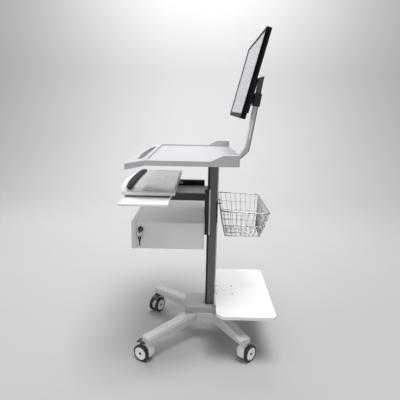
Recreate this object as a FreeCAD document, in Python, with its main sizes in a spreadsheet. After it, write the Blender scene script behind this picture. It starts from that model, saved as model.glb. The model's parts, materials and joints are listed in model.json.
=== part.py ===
"""Mobile computer cart: worktop, monitor, sliding trays, drawer, basket and shelf on four casters.

+X is the user's right, -Y is the side the user stands on and +Z is up. All lengths are millimetres.
Sub-parts are drawn about the column's axis on the floor, or about a frame of their own for the casters,
the monitor and its arm, and are then moved to the row's origin, which is the centre of the footprint.
"""
import FreeCAD, Part
import math
import os
import re
import Sketcher

from FreeCAD import Placement, Rotation, Vector

# Driving dimensions. Lengths are in millimetres and angles in degrees.
SIZES = {
    # where the column stands in the row's frame
    "column_east": -35.5, "column_north": 55.5,
    # base: hub, cover and legs
    "floor_gap": 97, "hub_top": 146,
    "cover_side": 74, "cover_front": 118, "cover_rear": 60, "cover_top": 173, "cover_wall": 3,
    "front_leg_start": -18, "rear_leg_start": 6, "leg_root": 82, "leg_overhang": 22, "leg_nose": 15,
    "leg_root_top": 22, "leg_root_foot": 28, "leg_tip_top": 19, "leg_tip_foot": 26, "leg_tip_height": 24,
    "casting_wall": 6, "hub_core_side": 46, "hub_core_front": -16, "hub_core_rear": 22,
    "front_caster_side": 230, "front_caster_reach": 262, "rear_caster_side": 226, "rear_caster_reach": 143,
    # casters
    "wheel_radius": 37.5, "tyre_thickness": 9.5, "wheel_width": 17, "wheel_inset": 10, "trail": 28,
    "axle_radius": 4, "stem_radius": 5.5, "running_gap": 0.05, "stem_shoulder": 9,
    "boss_radius": 15, "pedal_width": 17, "pedal_length": 40, "pedal_height": 80,
    "pedal_corner": 8,
    # column
    "column_side": 40, "column_front": 14, "column_rear": 19.5, "column_wall": 3, "column_top": 863,
    "front_strip": 7, "rear_strip": 6.5, "rear_strip_side": 30, "rear_strip_foot": 234,
    "port_radius": 3.4, "port_side": 30, "port_depth": 9, "port_block": 12,
    "screw_radius": 2.4, "screw_head": 3, "screw_head_radius": 4.5,
    # worktop
    "worktop_under": 868, "worktop_top": 887, "worktop_rim_top": 909, "worktop_floor": 880,
    "worktop_side": 329, "worktop_rear": 86, "worktop_shoulder": 255, "nose_side": 288, "nose_reach": 338,
    "nose_bow": 8, "nose_top": 866, "nose_thick": 24, "ramp_start": -20, "ramp_end": 27, "rim_width": 25,
    "rear_bow": 18,
    "handle_side": 240, "handle_rear": 275, "handle_front": 312, "corner_radius": 20,
    "plate_side": 110, "plate_thick": 5, "plate_front": 90, "plate_rear": 38,
    # monitor arm
    "arm_side": 25, "arm_thick": 18, "arm_lean": 8.8, "arm_foot_start": 42, "arm_foot_end": 119,
    "foot_thick": 8,
    "elbow_reach": 152, "elbow_height": 893, "knee_reach": 157, "knee_height": 914,
    "arm_tip_reach": 202, "arm_tip_height": 1206, "arm_slot": 7, "slot_foot": 946, "slot_top": 1026,
    "clamp_half": 27, "clamp_side": 33,
    # monitor
    "monitor_side": 280, "monitor_height": 322, "monitor_reach": 84.1, "monitor_foot": 1040.4,
    "monitor_tilt": 14.3, "bezel_side": 11, "bezel_foot": 18, "bezel_top": 8, "bezel_lip": 3,
    "monitor_corner": 6,
    "bezel_depth": 12, "monitor_depth": 20, "hump_side": 150, "hump_foot": 17, "hump_top": 165,
    "hump_depth": 19,
    "vesa_side": 58, "vesa_height": 101.5, "vesa_pitch": 100, "vesa_plate": 3, "pin_radius": 3,
    "pin_reach": 154.5, "pin_height": 1110, "lug_radius": 6.5, "lug_side": 9,
    # keyboard tray, mouse tray and their slides
    "tray_side": 271, "tray_rear": 150, "tray_corner": 350, "tray_front": 388, "tray_top": 757,
    "tray_thick": 12, "tray_lip": 6, "mat_side": 250, "mat_front": 310, "mat_thick": 1.5,
    "rest_side": 235, "rest_rear": 317, "rest_front": 369, "rest_end": 342, "rest_height": 16,
    "mouse_inner": 165, "mouse_outer": 400, "mouse_rear": 166, "mouse_front": 342, "mouse_floor": 735,
    "mouse_rim": 8, "sheet": 2, "slide_side": 150, "slide_foot": 706, "slide_tall": 25, "slide_thick": 12.6,
    "slide_rear": 38, "slide_length": 220, "slide_travel": 100, "slide_wall": 1.6,
    "slide_play": 0.6, "slide_mouth": 4, "hanger_side": 142.3, "hanger_thick": 2.4,
    "tray_bracket_foot": 702, "tray_bracket_top": 732,
    # drawer
    "cabinet_side": 209, "cabinet_front": 310, "cabinet_rear": 34, "cabinet_foot": 506, "cabinet_top": 622,
    "cabinet_wall": 1.5, "cabinet_bend": 9, "front_thick": 21, "drawer_side": 189.5, "drawer_foot": 514,
    "drawer_tall": 78, "drawer_depth": 250, "drawer_slide_height": 545, "drawer_slide_tall": 26,
    "lock_reach": 293, "lock_height": 591, "lock_radius": 9, "lock_face": 11.5,
    "keeper_reach": 287, "cam_reach": 16, "key_eye": 27, "key_ring_radius": 12, "ring_wire": 0.8,
    "mount_foot": 516, "mount_top": 725, "clamp_rear": 8, "clamp_front": 15,
    # basket
    "basket_side": 186, "basket_front": 33, "basket_rear": 232, "basket_top": 666, "basket_drop": 8,
    "basket_foot": 526, "basket_foot_side": 79, "basket_foot_front": 58, "basket_foot_rear": 212,
    "basket_mid": 590, "rim_wire": 2.5, "hoop_wire": 1.75, "thin_wire": 1.1, "basket_bend": 20,
    "hoop_bend": 10, "weld_gap": 0.3,
    # lower shelf
    "shelf_side": 250, "shelf_front": 24, "shelf_rear": 277, "shelf_top": 228, "shelf_fold": 14,
    "shelf_chamfer": 27, "shelf_hole_side": 42, "shelf_hole_front": 30, "shelf_hole_rear": 105,
    "shelf_screw": 3,
}

DOC = FreeCAD.newDocument("ComputerCart")
SHEET = DOC.addObject("Spreadsheet::Sheet", "cart")
NODES = []


def fill_sheet():
    for row, (alias, value) in enumerate(SIZES.items(), start=1):
        SHEET.set(f"A{row}", alias)
        SHEET.set(f"B{row}", str(value))
        SHEET.setAlias(f"B{row}", alias)
    DOC.recompute()


def formula(text):
    """The expression with each sheet alias written out as a reference to its cell."""
    def reference(word):
        return f"cart.{word[0]}" if word[0] in SIZES else word[0]

    return re.sub(r"[a-z][a-z_]+", reference, str(text))


def number(text):
    """The present value of an expression in sheet aliases."""
    return float(SHEET.evalExpression(formula(text)))


def bind(thing, **properties):
    for name, text in properties.items():
        thing.setExpression(name, formula(text))
    return thing


def at(thing, x, y, z):
    for axis, text in zip("xyz", (x, y, z)):
        thing.setExpression(f"Placement.Base.{axis}", formula(text))
    return thing


def box(name, x, y, z, long_x, long_y, long_z):
    solid = DOC.addObject("Part::Box", name)
    bind(solid, Length=long_x, Width=long_y, Height=long_z)
    return at(solid, x, y, z)


TURNS = {
    "x": Rotation(Vector(0, 1, 0), 90),
    "y": Rotation(Vector(1, 0, 0), -90),
    "z": Rotation(),
}


def cylinder(name, radius, length, x, y, z, axis="z"):
    solid = DOC.addObject("Part::Cylinder", name)
    bind(solid, Radius=radius, Height=length)
    solid.Placement = Placement(Vector(), TURNS[axis])
    return at(solid, x, y, z)


def cone(name, radius, far_radius, length, x, y, z, axis="z"):
    solid = DOC.addObject("Part::Cone", name)
    bind(solid, Radius1=radius, Radius2=far_radius, Height=length)
    solid.Placement = Placement(Vector(), TURNS[axis])
    return at(solid, x, y, z)


def fuse(name, *solids):
    whole = DOC.addObject("Part::MultiFuse", name)
    whole.Shapes = list(solids)
    whole.Refine = True
    return whole


def cut(name, base, *tools):
    whole = DOC.addObject("Part::Cut", name)
    whole.Base = base
    whole.Tool = tools[0] if len(tools) == 1 else fuse(name + "_tools", *tools)
    return whole


def common(name, first, second):
    whole = DOC.addObject("Part::Common", name)
    whole.Base = first
    whole.Tool = second
    return whole


def group(name, solids):
    """Several separate solids, such as a set of screws, held as one sub-part."""
    whole = DOC.addObject("Part::Compound", name)
    whole.Links = list(solids)
    return whole


def outline(body, name, plane, corners, offset="0"):
    """A closed sketch with straight sides, every corner bound to the sheet."""
    sketch = body.newObject("Sketcher::SketchObject", name)
    origin_plane = [f for f in body.Origin.OriginFeatures if f.Role == plane + "_Plane"][0]
    sketch.AttachmentSupport = [(origin_plane, "")]
    sketch.MapMode = "FlatFace"
    sketch.setExpression("AttachmentOffset.Base.z", formula(offset))
    points = [Vector(number(a), number(b), 0) for a, b in corners]
    count = len(points)
    for i in range(count):
        sketch.addGeometry(Part.LineSegment(points[i], points[(i + 1) % count]), False)
    for i in range(count):
        sketch.addConstraint(Sketcher.Constraint("Coincident", i, 2, (i + 1) % count, 1))
    for i, corner in enumerate(corners):
        for kind, text in zip(("DistanceX", "DistanceY"), corner):
            index = sketch.addConstraint(Sketcher.Constraint(kind, -1, 1, i, 1, number(text)))
            sketch.setExpression(f"Constraints[{index}]", formula(text))
    return sketch


def prism(name, plane, corners, offset, length, rounding=None):
    """An outline raised square to its plane, with its long edges rounded if asked."""
    body = DOC.addObject("PartDesign::Body", name)
    sketch = outline(body, name + "_outline", plane, corners, offset)
    pad = body.newObject("PartDesign::Pad", name + "_pad")
    pad.Profile = sketch
    bind(pad, Length=length)
    DOC.recompute()
    if rounding:
        normal = {"XY": Vector(0, 0, 1), "YZ": Vector(1, 0, 0)}[plane]
        fillet = body.newObject("PartDesign::Fillet", name + "_fillet")
        names = []
        for i, edge in enumerate(pad.Shape.Edges, start=1):
            if abs(abs(edge.tangentAt(edge.FirstParameter).dot(normal)) - 1) < 1e-6:
                names.append(f"Edge{i}")
        fillet.Base = (pad, names)
        bind(fillet, Radius=rounding)
    return body


def round_edges(name, solid, radius, chosen):
    """Rounds the edges of a solid whose bounding boxes pass a test."""
    DOC.recompute()
    soft = DOC.addObject("Part::Fillet", name)
    soft.Base = solid
    size = number(radius)
    numbered = enumerate(solid.Shape.Edges, start=1)
    soft.Edges = [(i, size, size) for i, edge in numbered if chosen(edge.BoundBox)]
    return soft


def mirrored(right_side):
    """Corners of an outline that is the same left and right, from its right-hand half."""
    return right_side + [(f"-({x})", y) for x, y in reversed(right_side) if x != "0"]


def keep(solid, label, place=None):
    """Names a finished sub-part and moves it from its drawing frame to the row's frame."""
    if solid.TypeId in ("Part::Box", "Part::Cylinder"):
        solid = group(label + "_alone", [solid])  # a primitive's own place stays bound to the sheet
    solid.Label = label
    home = Placement(Vector(number("column_east"), number("column_north"), 0), Rotation())
    solid.Placement = home.multiply(place or Placement()).multiply(solid.Placement)
    NODES.append(solid)
    return solid


# ---------------------------------------------------------------- base

def leg_turns():
    """Each leg's name, the start of its centre line, its heading and its run to the caster."""
    legs = []
    for end, sign in (("front", -1), ("rear", 1)):
        start = number(f"{end}_leg_start")
        side = number(f"{end}_caster_side")
        reach = sign * number(f"{end}_caster_reach") - start
        run = math.hypot(side, reach)
        legs.append((f"{end}_right", start, math.degrees(math.atan2(reach, side)), run))
        legs.append((f"{end}_left", start, math.degrees(math.atan2(reach, -side)), run))
    return legs


def leg_section(body, name, along, top_half, foot_half, top):
    """A leg's cross-section: a flat top, bevelled shoulders and upright sides."""
    bevel = "5"
    right = [(foot_half, "floor_gap"), (foot_half, f"{top} - 2 * {bevel}"), (top_half, top)]
    return outline(body, name, "YZ", mirrored(right), along)


def leg_hollow(name, run):
    """The space under a leg, open below, that leaves a cast shell and a solid boss for the caster."""
    body = DOC.addObject("PartDesign::Body", f"leg_{name}_hollow")
    ends = [("leg_root + casting_wall", "leg_root_foot - casting_wall", "hub_top - 1.5 * casting_wall"),
            (f"{run} - 4 * casting_wall", "leg_tip_foot - casting_wall",
             "floor_gap + leg_tip_height - casting_wall")]
    sections = []
    for word, (along, half, top) in zip(("root", "tip"), ends):
        shape = mirrored([(half, "floor_gap - 1"), (half, top + " - 5"), (half + " - 5", top)])
        sections.append(outline(body, f"{name}_hollow_{word}", "YZ", shape, along))
    loft = body.newObject("PartDesign::AdditiveLoft", name + "_hollow_loft")
    loft.Profile = sections[0]
    loft.Sections = sections[1:]
    return body


def make_legs():
    for name, start, heading, run in leg_turns():
        body = DOC.addObject("PartDesign::Body", f"leg_{name}_body")
        far = run + number("leg_overhang")
        root = leg_section(body, name + "_root", "leg_root", "leg_root_top", "leg_root_foot", "hub_top")
        tip = leg_section(body, name + "_tip", str(far), "leg_tip_top", "leg_tip_foot",
                          "(floor_gap + leg_tip_height)")
        loft = body.newObject("PartDesign::AdditiveLoft", name + "_loft")
        loft.Profile = root
        loft.Sections = [tip]
        plan = [("0", "-leg_root_foot"), (str(far), "-leg_root_foot"), (str(far), "leg_root_foot"),
                ("0", "leg_root_foot")]
        nose = prism(f"leg_{name}_nose", "XY", plan, "floor_gap - 1", "hub_top - floor_gap + 2", "leg_nose")
        bore = cylinder(f"{name}_stem_bore", "stem_radius + 0.1", "20", str(run), "0", "floor_gap - 1")
        hollow = leg_hollow(name, run)
        leg = cut(f"leg_{name}_cut", common(f"leg_{name}_rounded", body, nose), hollow, bore)
        keep(leg, f"leg_{name}", Placement(Vector(0, start, 0), Rotation(Vector(0, 0, 1), heading)))


def root_corner(start, heading, side):
    """Where one side of a leg's foot meets the hub."""
    turn = math.radians(heading)
    along = number("leg_root")
    half = side * number("leg_root_foot")
    return (str(along * math.cos(turn) - half * math.sin(turn)),
            str(start + along * math.sin(turn) + half * math.cos(turn)))


def make_hub():
    legs = {name: (start, heading) for name, start, heading, run in leg_turns()}
    right = [root_corner(*legs[name], side) for name in ("front_right", "rear_right") for side in (-1, 1)]
    hub = prism("hub", "XY", mirrored(right), "floor_gap", "hub_top - floor_gap")
    holes = []
    for i, (x, y) in enumerate(port_places()):
        holes.append(cylinder(f"hub_hole_{i}", "port_radius + 0.6", "60", x, y, "floor_gap - 1"))
        holes.append(cylinder(f"hub_recess_{i}", "8", "14", x, y, "floor_gap - 1"))
    deep = "hub_top - floor_gap - casting_wall + 1"
    holes.append(box("hub_front_hollow", "-hub_core_side", "-60", "floor_gap - 1", "2 * hub_core_side",
                     "60 + hub_core_front", deep))
    holes.append(box("hub_rear_hollow", "-hub_core_side", "hub_core_rear", "floor_gap - 1",
                     "2 * hub_core_side", "24", deep))
    keep(cut("hub_cut", hub, *holes), "base_hub")


def make_base_cover():
    plan = mirrored([("cover_side", "-cover_front"), ("cover_side", "cover_rear")])
    inner = mirrored([("cover_side - cover_wall", "-cover_front + cover_wall"),
                      ("cover_side - cover_wall", "cover_rear - cover_wall")])
    outside = prism("cover_outside", "XY", plan, "hub_top", "cover_top - hub_top", "14")
    inside = prism("cover_inside", "XY", inner, "hub_top - 1", "cover_top - hub_top - cover_wall + 1", "11")
    window = box("cover_window", "-column_side - 0.5", "-column_front - front_strip - 0.5", "hub_top",
                 "2 * column_side + 1", "column_front + front_strip + column_rear + 1", "60")
    shell = cut("cover_shell", outside, inside, window)
    top = number("cover_top")
    column = number("column_side") + 1

    def outer_top(edge):
        outer = max(abs(edge.XMin), abs(edge.XMax)) > column or edge.YMin < -60 or edge.YMax > 40
        return edge.ZMin > top - 0.01 and outer

    keep(round_edges("cover_soft", shell, "2.5", outer_top), "base_cover")


def port_places():
    """Centres of the four screw ports in the column."""
    return [(f"{i} * port_side", f"{j} * port_depth + 2.75") for i in (-1, 1) for j in (-1, 1)]


def caster_places():
    """Each caster's name, its swivel axis and the way it points at rest."""
    places = []
    turns = {"front_right": -31, "front_left": 60, "rear_right": 227, "rear_left": 205}
    for name, turn in turns.items():
        end, side = name.split("_")
        x = number(f"{end}_caster_side") * (1 if side == "right" else -1)
        y = number(f"{end}_caster_reach") * (1 if end == "rear" else -1)
        places.append((name, x, y, turn))
    return places


def make_stems():
    stems = []
    for name, x, y, turn in caster_places():
        pin = cylinder(f"{name}_stem", "stem_radius", "58", str(x), str(y), "58")
        shoulder = cylinder(f"{name}_shoulder", "stem_shoulder", "4", str(x), str(y), "floor_gap - 4")
        stems.append(fuse(f"{name}_stem_whole", pin, shoulder))
    keep(group("stem_set", stems), "caster_stems")


# ---------------------------------------------------------------- casters

def make_housing(name, place):
    """The plastic body: a web between the wheels, a nose ahead of them and a boss for the stem."""
    side = [("-trail - 22", "22"), ("-trail + 20", "16"), ("16", "30"), ("19", "52"), ("15", "84"),
            ("-15", "84"), ("-trail - 10", "66"), ("-trail - 27", "48")]
    web = prism(f"{name}_web", "YZ", side, "-wheel_inset + 1.5", "2 * wheel_inset - 3", "4")
    nose_side = [("11.5", "34"), ("15", "30"), ("20", "50"), ("16.5", "76"), ("11.5", "80")]
    nose = prism(f"{name}_nose", "YZ", nose_side, "-16", "32")
    boss = cylinder(f"{name}_boss", "boss_radius", "13", "0", "0", "79")
    whole = fuse(f"{name}_housing_whole", web, nose, boss)
    stem_bore = cylinder(f"{name}_bore", "stem_radius + running_gap", "40", "0", "0", "57")
    axle_bore = cylinder(f"{name}_axle_bore", "axle_radius + running_gap", "60", "-30", "-trail",
                         "wheel_radius", "x")
    pedal_bore = cylinder(f"{name}_pedal_bore", "2 + running_gap", "60", "-30", "-13", "pedal_height + 6",
                          "x")
    housing = cut(f"{name}_housing_cut", whole, stem_bore, axle_bore, pedal_bore)
    keep(housing, f"caster_housing_{name}", place)


def wheel_disc(name, side):
    """One white wheel centre with a dished face and a raised hub."""
    near = "wheel_inset" if side > 0 else "-wheel_inset - wheel_width"
    face = "wheel_inset + wheel_width - 2.5" if side > 0 else "-wheel_inset - wheel_width"
    disc = cylinder(f"{name}_disc", "wheel_radius - tyre_thickness", "wheel_width", near, "-trail",
                    "wheel_radius", "x")
    dish = cylinder(f"{name}_dish", "wheel_radius - tyre_thickness - 5", "2.5", face, "-trail",
                    "wheel_radius", "x")
    hub = cylinder(f"{name}_hub", "9", "2.5", face, "-trail", "wheel_radius", "x")
    return fuse(f"{name}_wheel", cut(f"{name}_rim", disc, dish), hub)


def make_wheels(name, place):
    """Two wheel centres joined by their axle."""
    axle = cylinder(f"{name}_axle", "axle_radius", "2 * wheel_inset + 4", "-wheel_inset - 2", "-trail",
                    "wheel_radius", "x")
    discs = [wheel_disc(f"{name}_{word}", side) for word, side in (("left", -1), ("right", 1))]
    keep(fuse(f"{name}_wheels_whole", axle, *discs), f"caster_wheels_{name}", place)


def make_tyres(name, place):
    tyres = []
    for word, side in (("left", -1), ("right", 1)):
        near = "wheel_inset + 0.5" if side > 0 else "-wheel_inset - wheel_width + 0.5"
        outer = cylinder(f"{name}_{word}_tread", "wheel_radius", "wheel_width - 1", near, "-trail",
                         "wheel_radius", "x")
        soft = round_edges(f"{name}_{word}_tread_soft", outer, "2.5", lambda edge: edge.XLength < 0.01)
        hole = cylinder(f"{name}_{word}_seat", "wheel_radius - tyre_thickness", "wheel_width + 2",
                        near + " - 1", "-trail", "wheel_radius", "x")
        tyres.append(cut(f"{name}_{word}_tyre", soft, hole))
    keep(group(f"{name}_tyre_pair", tyres), f"caster_tyres_{name}", place)


def make_pedal(name, place):
    """The foot brake: a plate over the wheels on a cross pin through the housing."""
    side = [("-10", "pedal_height + 4"), ("-10", "pedal_height + 9"), ("-20", "pedal_height + 9"),
            ("-16 - pedal_length", "pedal_height + 3"), ("-18 - pedal_length", "pedal_height - 6"),
            ("-15 - pedal_length", "pedal_height - 6"), ("-12 - pedal_length", "pedal_height"),
            ("-20", "pedal_height + 6"), ("-16", "pedal_height + 3")]
    profile = prism(f"{name}_plate_profile", "YZ", side, "-pedal_width", "2 * pedal_width")
    plan = [("-pedal_width", "-9"), ("-0.86 * pedal_width", "-19 - pedal_length"),
            ("0.86 * pedal_width", "-19 - pedal_length"), ("pedal_width", "-9")]
    tongue = prism(f"{name}_plate_plan", "XY", plan, "60", "60", "pedal_corner")
    plate = common(f"{name}_plate", profile, tongue)
    slot = box(f"{name}_pedal_slot", "-boss_radius - 0.6", "-17.5", "70", "2 * boss_radius + 1.2", "30", "30")
    pin = cylinder(f"{name}_pedal_pin", "2", "2 * pedal_width - 2", "1 - pedal_width", "-13",
                   "pedal_height + 6", "x")
    pedal = fuse(f"{name}_pedal_whole", cut(f"{name}_pedal_plate", plate, slot), pin)
    keep(pedal, f"brake_pedal_{name}", place)


def make_casters():
    for name, x, y, turn in caster_places():
        place = Placement(Vector(x, y, 0), Rotation(Vector(0, 0, 1), turn))
        make_housing(name, place)
        make_wheels(name, place)
        make_tyres(name, place)
        if name.startswith("front"):
            make_pedal(name, place)


# ---------------------------------------------------------------- column

def make_column():
    right = [("column_side", "-column_front"), ("column_side", "column_rear")]
    outer = prism("column_outer", "XY", mirrored(right), "hub_top", "column_top - hub_top", "3")
    inner_side = "column_side - column_wall"
    inner_block = "column_side - port_block - 4"
    cross = [(inner_block, "-column_front + column_wall"), (inner_block, "-column_front + port_block"),
             (inner_side, "-column_front + port_block"), (inner_side, "column_rear - port_block"),
             (inner_block, "column_rear - port_block"), (inner_block, "column_rear - column_wall")]
    cavity = prism("column_cavity", "XY", mirrored(cross), "hub_top - 1", "column_top - hub_top + 2")
    holes = [cylinder(f"column_port_{i}", "port_radius", "column_top - hub_top + 2", x, y, "hub_top - 1")
             for i, (x, y) in enumerate(port_places())]
    grooves = [box(f"column_groove_{i}", x, "0.5", "hub_top - 1", "2", "5", "column_top - hub_top + 2")
               for i, x in enumerate(("column_side - 1.4", "-column_side - 0.6"))]
    keep(cut("column_cut", outer, cavity, *holes, *grooves), "column")


def make_column_strips():
    foot = "cover_top + 0.5"
    plan = mirrored([("column_side", "-column_front - front_strip"), ("column_side", "-column_front")])
    front = prism("front_strip_body", "XY", plan, foot, "column_top - cover_top - 0.5", "1.5")
    keep(front, "column_front_strip")
    plan = mirrored([("rear_strip_side", "column_rear"), ("rear_strip_side", "column_rear + rear_strip")])
    rear = prism("rear_strip_body", "XY", plan, "rear_strip_foot", "column_top - rear_strip_foot", "2")
    keep(rear, "column_cable_cover")


def make_top_plate():
    plan = mirrored([("plate_side", "-plate_front"), ("plate_side", "plate_rear")])
    plate = prism("top_plate_body", "XY", plan, "column_top", "plate_thick", "10")
    holes = [cylinder(f"plate_hole_{i}", "2.8", "plate_thick + 2", x, y, "column_top - 1")
             for i, (x, y) in enumerate(plate_screw_places())]
    holes += [cylinder(f"plate_port_{i}", "port_radius + 0.6", "plate_thick + 2", x, y, "column_top - 1")
              for i, (x, y) in enumerate(port_places())]
    holes += [cone(f"plate_sink_{i}", "port_radius + 0.6", "7.2", "3.2", x, y, "column_top + 1.8")
              for i, (x, y) in enumerate(port_places())]
    keep(cut("top_plate_cut", plate, *holes), "top_plate")


def plate_screw_places():
    rows = ("15 - plate_front", "plate_rear - 15")
    return [(f"{i} * (plate_side - 15)", y) for i in (-1, 1) for y in rows]


def pan_screw(name, x, y, z, length, up=True):
    """A panel screw whose head lies against the surface at z, with its shank going up or down from it."""
    low = z if up else f"{z} - {length}"
    head_low = f"{z} - screw_head" if up else z
    shank = cylinder(f"{name}_shank", "screw_radius", length, x, y, low)
    head = cylinder(f"{name}_head", "screw_head_radius", "screw_head", x, y, head_low)
    return fuse(name, shank, head)


def make_panel_screws():
    """The identical screws that hold the top plate, the monitor arm and the lower shelf."""
    screws = []
    for i, (x, y) in enumerate(plate_screw_places()):
        screws.append(pan_screw(f"plate_screw_{i}", x, y, "column_top", "plate_thick + 8"))
    for i, (x, y) in enumerate(arm_screw_places()):
        screws.append(pan_screw(f"arm_screw_{i}", x, y, "worktop_under - foot_thick", "foot_thick + 8"))
    for i, (x, y) in enumerate(shelf_holes()):
        shank = cylinder(f"shelf_shank_{i}", "screw_radius", "11", x, y, "shelf_top - 13")
        head = cone(f"shelf_head_{i}", "screw_radius", "screw_head_radius", "1.95", x, y, "shelf_top - 2")
        screws.append(fuse(f"shelf_screw_{i}", shank, head))
    keep(group("panel_screw_set", screws), "panel_screws")


def make_column_bolts():
    """Four screws at each end of the column, in the ports that run its whole length."""
    bolts = []
    for i, (x, y) in enumerate(port_places()):
        low_shank = cylinder(f"hub_shank_{i}", "port_radius - 0.1", "72", x, y, "floor_gap + 6")
        low_head = cylinder(f"hub_head_{i}", "6.5", "6.5", x, y, "floor_gap + 6")
        bolts.append(fuse(f"hub_bolt_{i}", low_shank, low_head))
        top_shank = cylinder(f"port_shank_{i}", "port_radius - 0.1", "34", x, y, "column_top - 30")
        top_head = cone(f"port_head_{i}", "port_radius - 0.1", "6.4", "2.8", x, y, "column_top + 2.1")
        bolts.append(fuse(f"top_bolt_{i}", top_shank, top_head))
    keep(group("column_bolt_set", bolts), "column_bolts")


# ---------------------------------------------------------------- worktop

def make_worktop():
    """A moulded top with a lip in front and at the sides that rises at the rear corners, open at the back."""
    side = [("-nose_reach - nose_bow", "nose_top"), ("-worktop_shoulder", "worktop_top"),
            ("ramp_start", "worktop_top"), ("ramp_end", "worktop_rim_top"),
            ("worktop_rear + rear_bow", "worktop_rim_top"), ("worktop_rear + rear_bow", "worktop_under"),
            ("-worktop_shoulder", "worktop_under"), ("-nose_reach - nose_bow", "nose_top - nose_thick")]
    slab = prism("worktop_profile", "YZ", side, "-worktop_side", "2 * worktop_side")
    plan = [("0", "-nose_reach - nose_bow"), ("0.55 * nose_side", "-nose_reach - 0.7 * nose_bow"),
            ("nose_side", "-nose_reach"), ("worktop_side", "-worktop_shoulder"),
            ("worktop_side", "worktop_rear"), ("0.55 * worktop_side", "worktop_rear + 0.75 * rear_bow"),
            ("0", "worktop_rear + rear_bow")]
    footprint = prism("worktop_plan", "XY", mirrored(plan), "worktop_under - 40", "100", "corner_radius")
    inner = mirrored([("worktop_side - rim_width - 3", "-worktop_shoulder"),
                      ("worktop_side - rim_width", "worktop_rear + rear_bow + 2 * corner_radius")])
    recess = prism("worktop_recess", "XY", inner, "worktop_floor", "60", "corner_radius + 4")
    slot = [("0.8 * handle_side", "-handle_rear"), ("handle_side", "-handle_rear - 8"),
            ("0.8 * handle_side", "-handle_front + 8"), ("0", "-handle_front")]
    handle = prism("worktop_handle", "XY", mirrored(slot), "worktop_under - 60", "100")
    pilots = [cylinder(f"worktop_pilot_{i}", "screw_radius + 0.1", "9.5", x, y, "worktop_under - 1")
              for i, (x, y) in enumerate(plate_screw_places() + arm_screw_places())]
    blank = cut("worktop_blank", common("worktop_slab", slab, footprint), recess, handle, *pilots)
    keep(blank, "worktop")


# ---------------------------------------------------------------- monitor arm and clamp

CLAMP_SCREW_HEIGHTS = ("-15", "15")


def make_arm():
    slope = "(arm_tip_reach - knee_reach) / (arm_tip_height - knee_height)"
    side = [("arm_foot_start", "worktop_under"), ("arm_foot_start", "worktop_under - foot_thick"),
            ("arm_foot_end", "worktop_under - foot_thick"), ("elbow_reach", "elbow_height"),
            ("knee_reach", "knee_height"), ("arm_tip_reach", "arm_tip_height"),
            (f"arm_tip_reach - arm_thick - 5 * {slope}", "arm_tip_height - 5"),
            (f"knee_reach - arm_thick + 6 * {slope}", "knee_height + 6"),
            ("elbow_reach - arm_thick", "elbow_height + 14"), ("arm_foot_end - 12", "worktop_under")]
    bar = prism("arm_bar", "YZ", side, "-arm_side", "2 * arm_side")
    foot, top = [f"knee_reach - arm_thick / 2 + ({z} - knee_height) * {slope}"
                 for z in ("slot_foot", "slot_top")]
    window = [(f"{foot} - arm_slot / 2", "slot_foot"), (f"{foot} + arm_slot / 2", "slot_foot"),
              (f"{top} + arm_slot / 2", "slot_top"), (f"{top} - arm_slot / 2", "slot_top")]
    slot = prism("arm_slot_body", "YZ", window, "-arm_side - 1", "2 * arm_side + 2")
    holes = [cylinder(f"arm_hole_{i}", "2.8", "20", x, y, "worktop_under - 15")
             for i, (x, y) in enumerate(arm_screw_places())]
    keep(cut("arm_cut", bar, slot, *holes), "monitor_arm")


def arm_screw_places():
    return [(f"{i} * 15", f"arm_foot_start + {y}") for i in (-1, 1) for y in (10, 32)]


def arm_frame():
    """The arm's own frame where the clamp sits: +Z runs up the bar and the origin is on its centre line."""
    rise = number("pin_height - knee_height")
    reach = number("knee_reach - arm_thick / 2") + rise * math.tan(math.radians(number("arm_lean")))
    return Placement(Vector(0, reach, number("pin_height")), Rotation(Vector(1, 0, 0), -number("arm_lean")))


def pin_in(frame):
    """The tilt pin's centre in another frame of the cart."""
    return frame.inverse().multVec(Vector(0, number("pin_reach"), number("pin_height")))


def make_clamp():
    frame = arm_frame()
    pin = pin_in(frame)
    block = prism("clamp_block", "XY", mirrored([("clamp_side", "-15.5"), ("clamp_side", "13.5")]),
                  "-clamp_half", "2 * clamp_half", "3")
    ear = [("-14", "-24"), ("-14", "24"), (f"{pin.y} + 1", "11"), (f"{pin.y} - 5.5", f"{pin.z} + 4.5"),
           (f"{pin.y} - 5.5", f"{pin.z} - 4.5"), (f"{pin.y} + 1", "-11")]
    ears = [prism(f"clamp_ear_{i}", "YZ", ear, start, "11")
            for i, start in enumerate(("lug_side + 0.5", "-lug_side - 11.5"))]
    window = box("clamp_window", "-arm_side - 0.3", "-arm_thick / 2 - 0.3", "-40", "2 * arm_side + 0.6",
                 "arm_thick + 0.6", "80")
    bore = cylinder("clamp_bore", "pin_radius", "60", "-30", str(pin.y), str(pin.z), "x")
    tapped = [cylinder(f"clamp_tap_{i}", "2.5", "20", "0", "9", z, "y")
              for i, z in enumerate(CLAMP_SCREW_HEIGHTS)]
    keep(cut("clamp_cut", fuse("clamp_whole", block, *ears), window, bore, *tapped), "arm_clamp", frame)
    axle = cylinder("tilt_pin_body", "pin_radius", "2 * lug_side + 23", "-lug_side - 11.5", str(pin.y),
                    str(pin.z), "x")
    screws = [axle]
    for i, z in enumerate(CLAMP_SCREW_HEIGHTS):
        shank = cylinder(f"clamp_shank_{i}", "2.4", "6", "0", "9.6", z, "y")
        head = cylinder(f"clamp_head_{i}", "4.5", "4", "0", "13.5", z, "y")
        screws.append(fuse(f"clamp_screw_{i}", shank, head))
    keep(group("clamp_pin_set", screws), "clamp_pins", frame)


# ---------------------------------------------------------------- monitor

def monitor_frame():
    """Origin at the middle of the screen's lower front edge, +Y into the monitor and +Z up the glass."""
    base = Vector(0, number("monitor_reach"), number("monitor_foot"))
    return Placement(base, Rotation(Vector(1, 0, 0), -number("monitor_tilt")))


def front_to_back(edge):
    return edge.YLength > 1 and edge.XLength < 0.01


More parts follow.
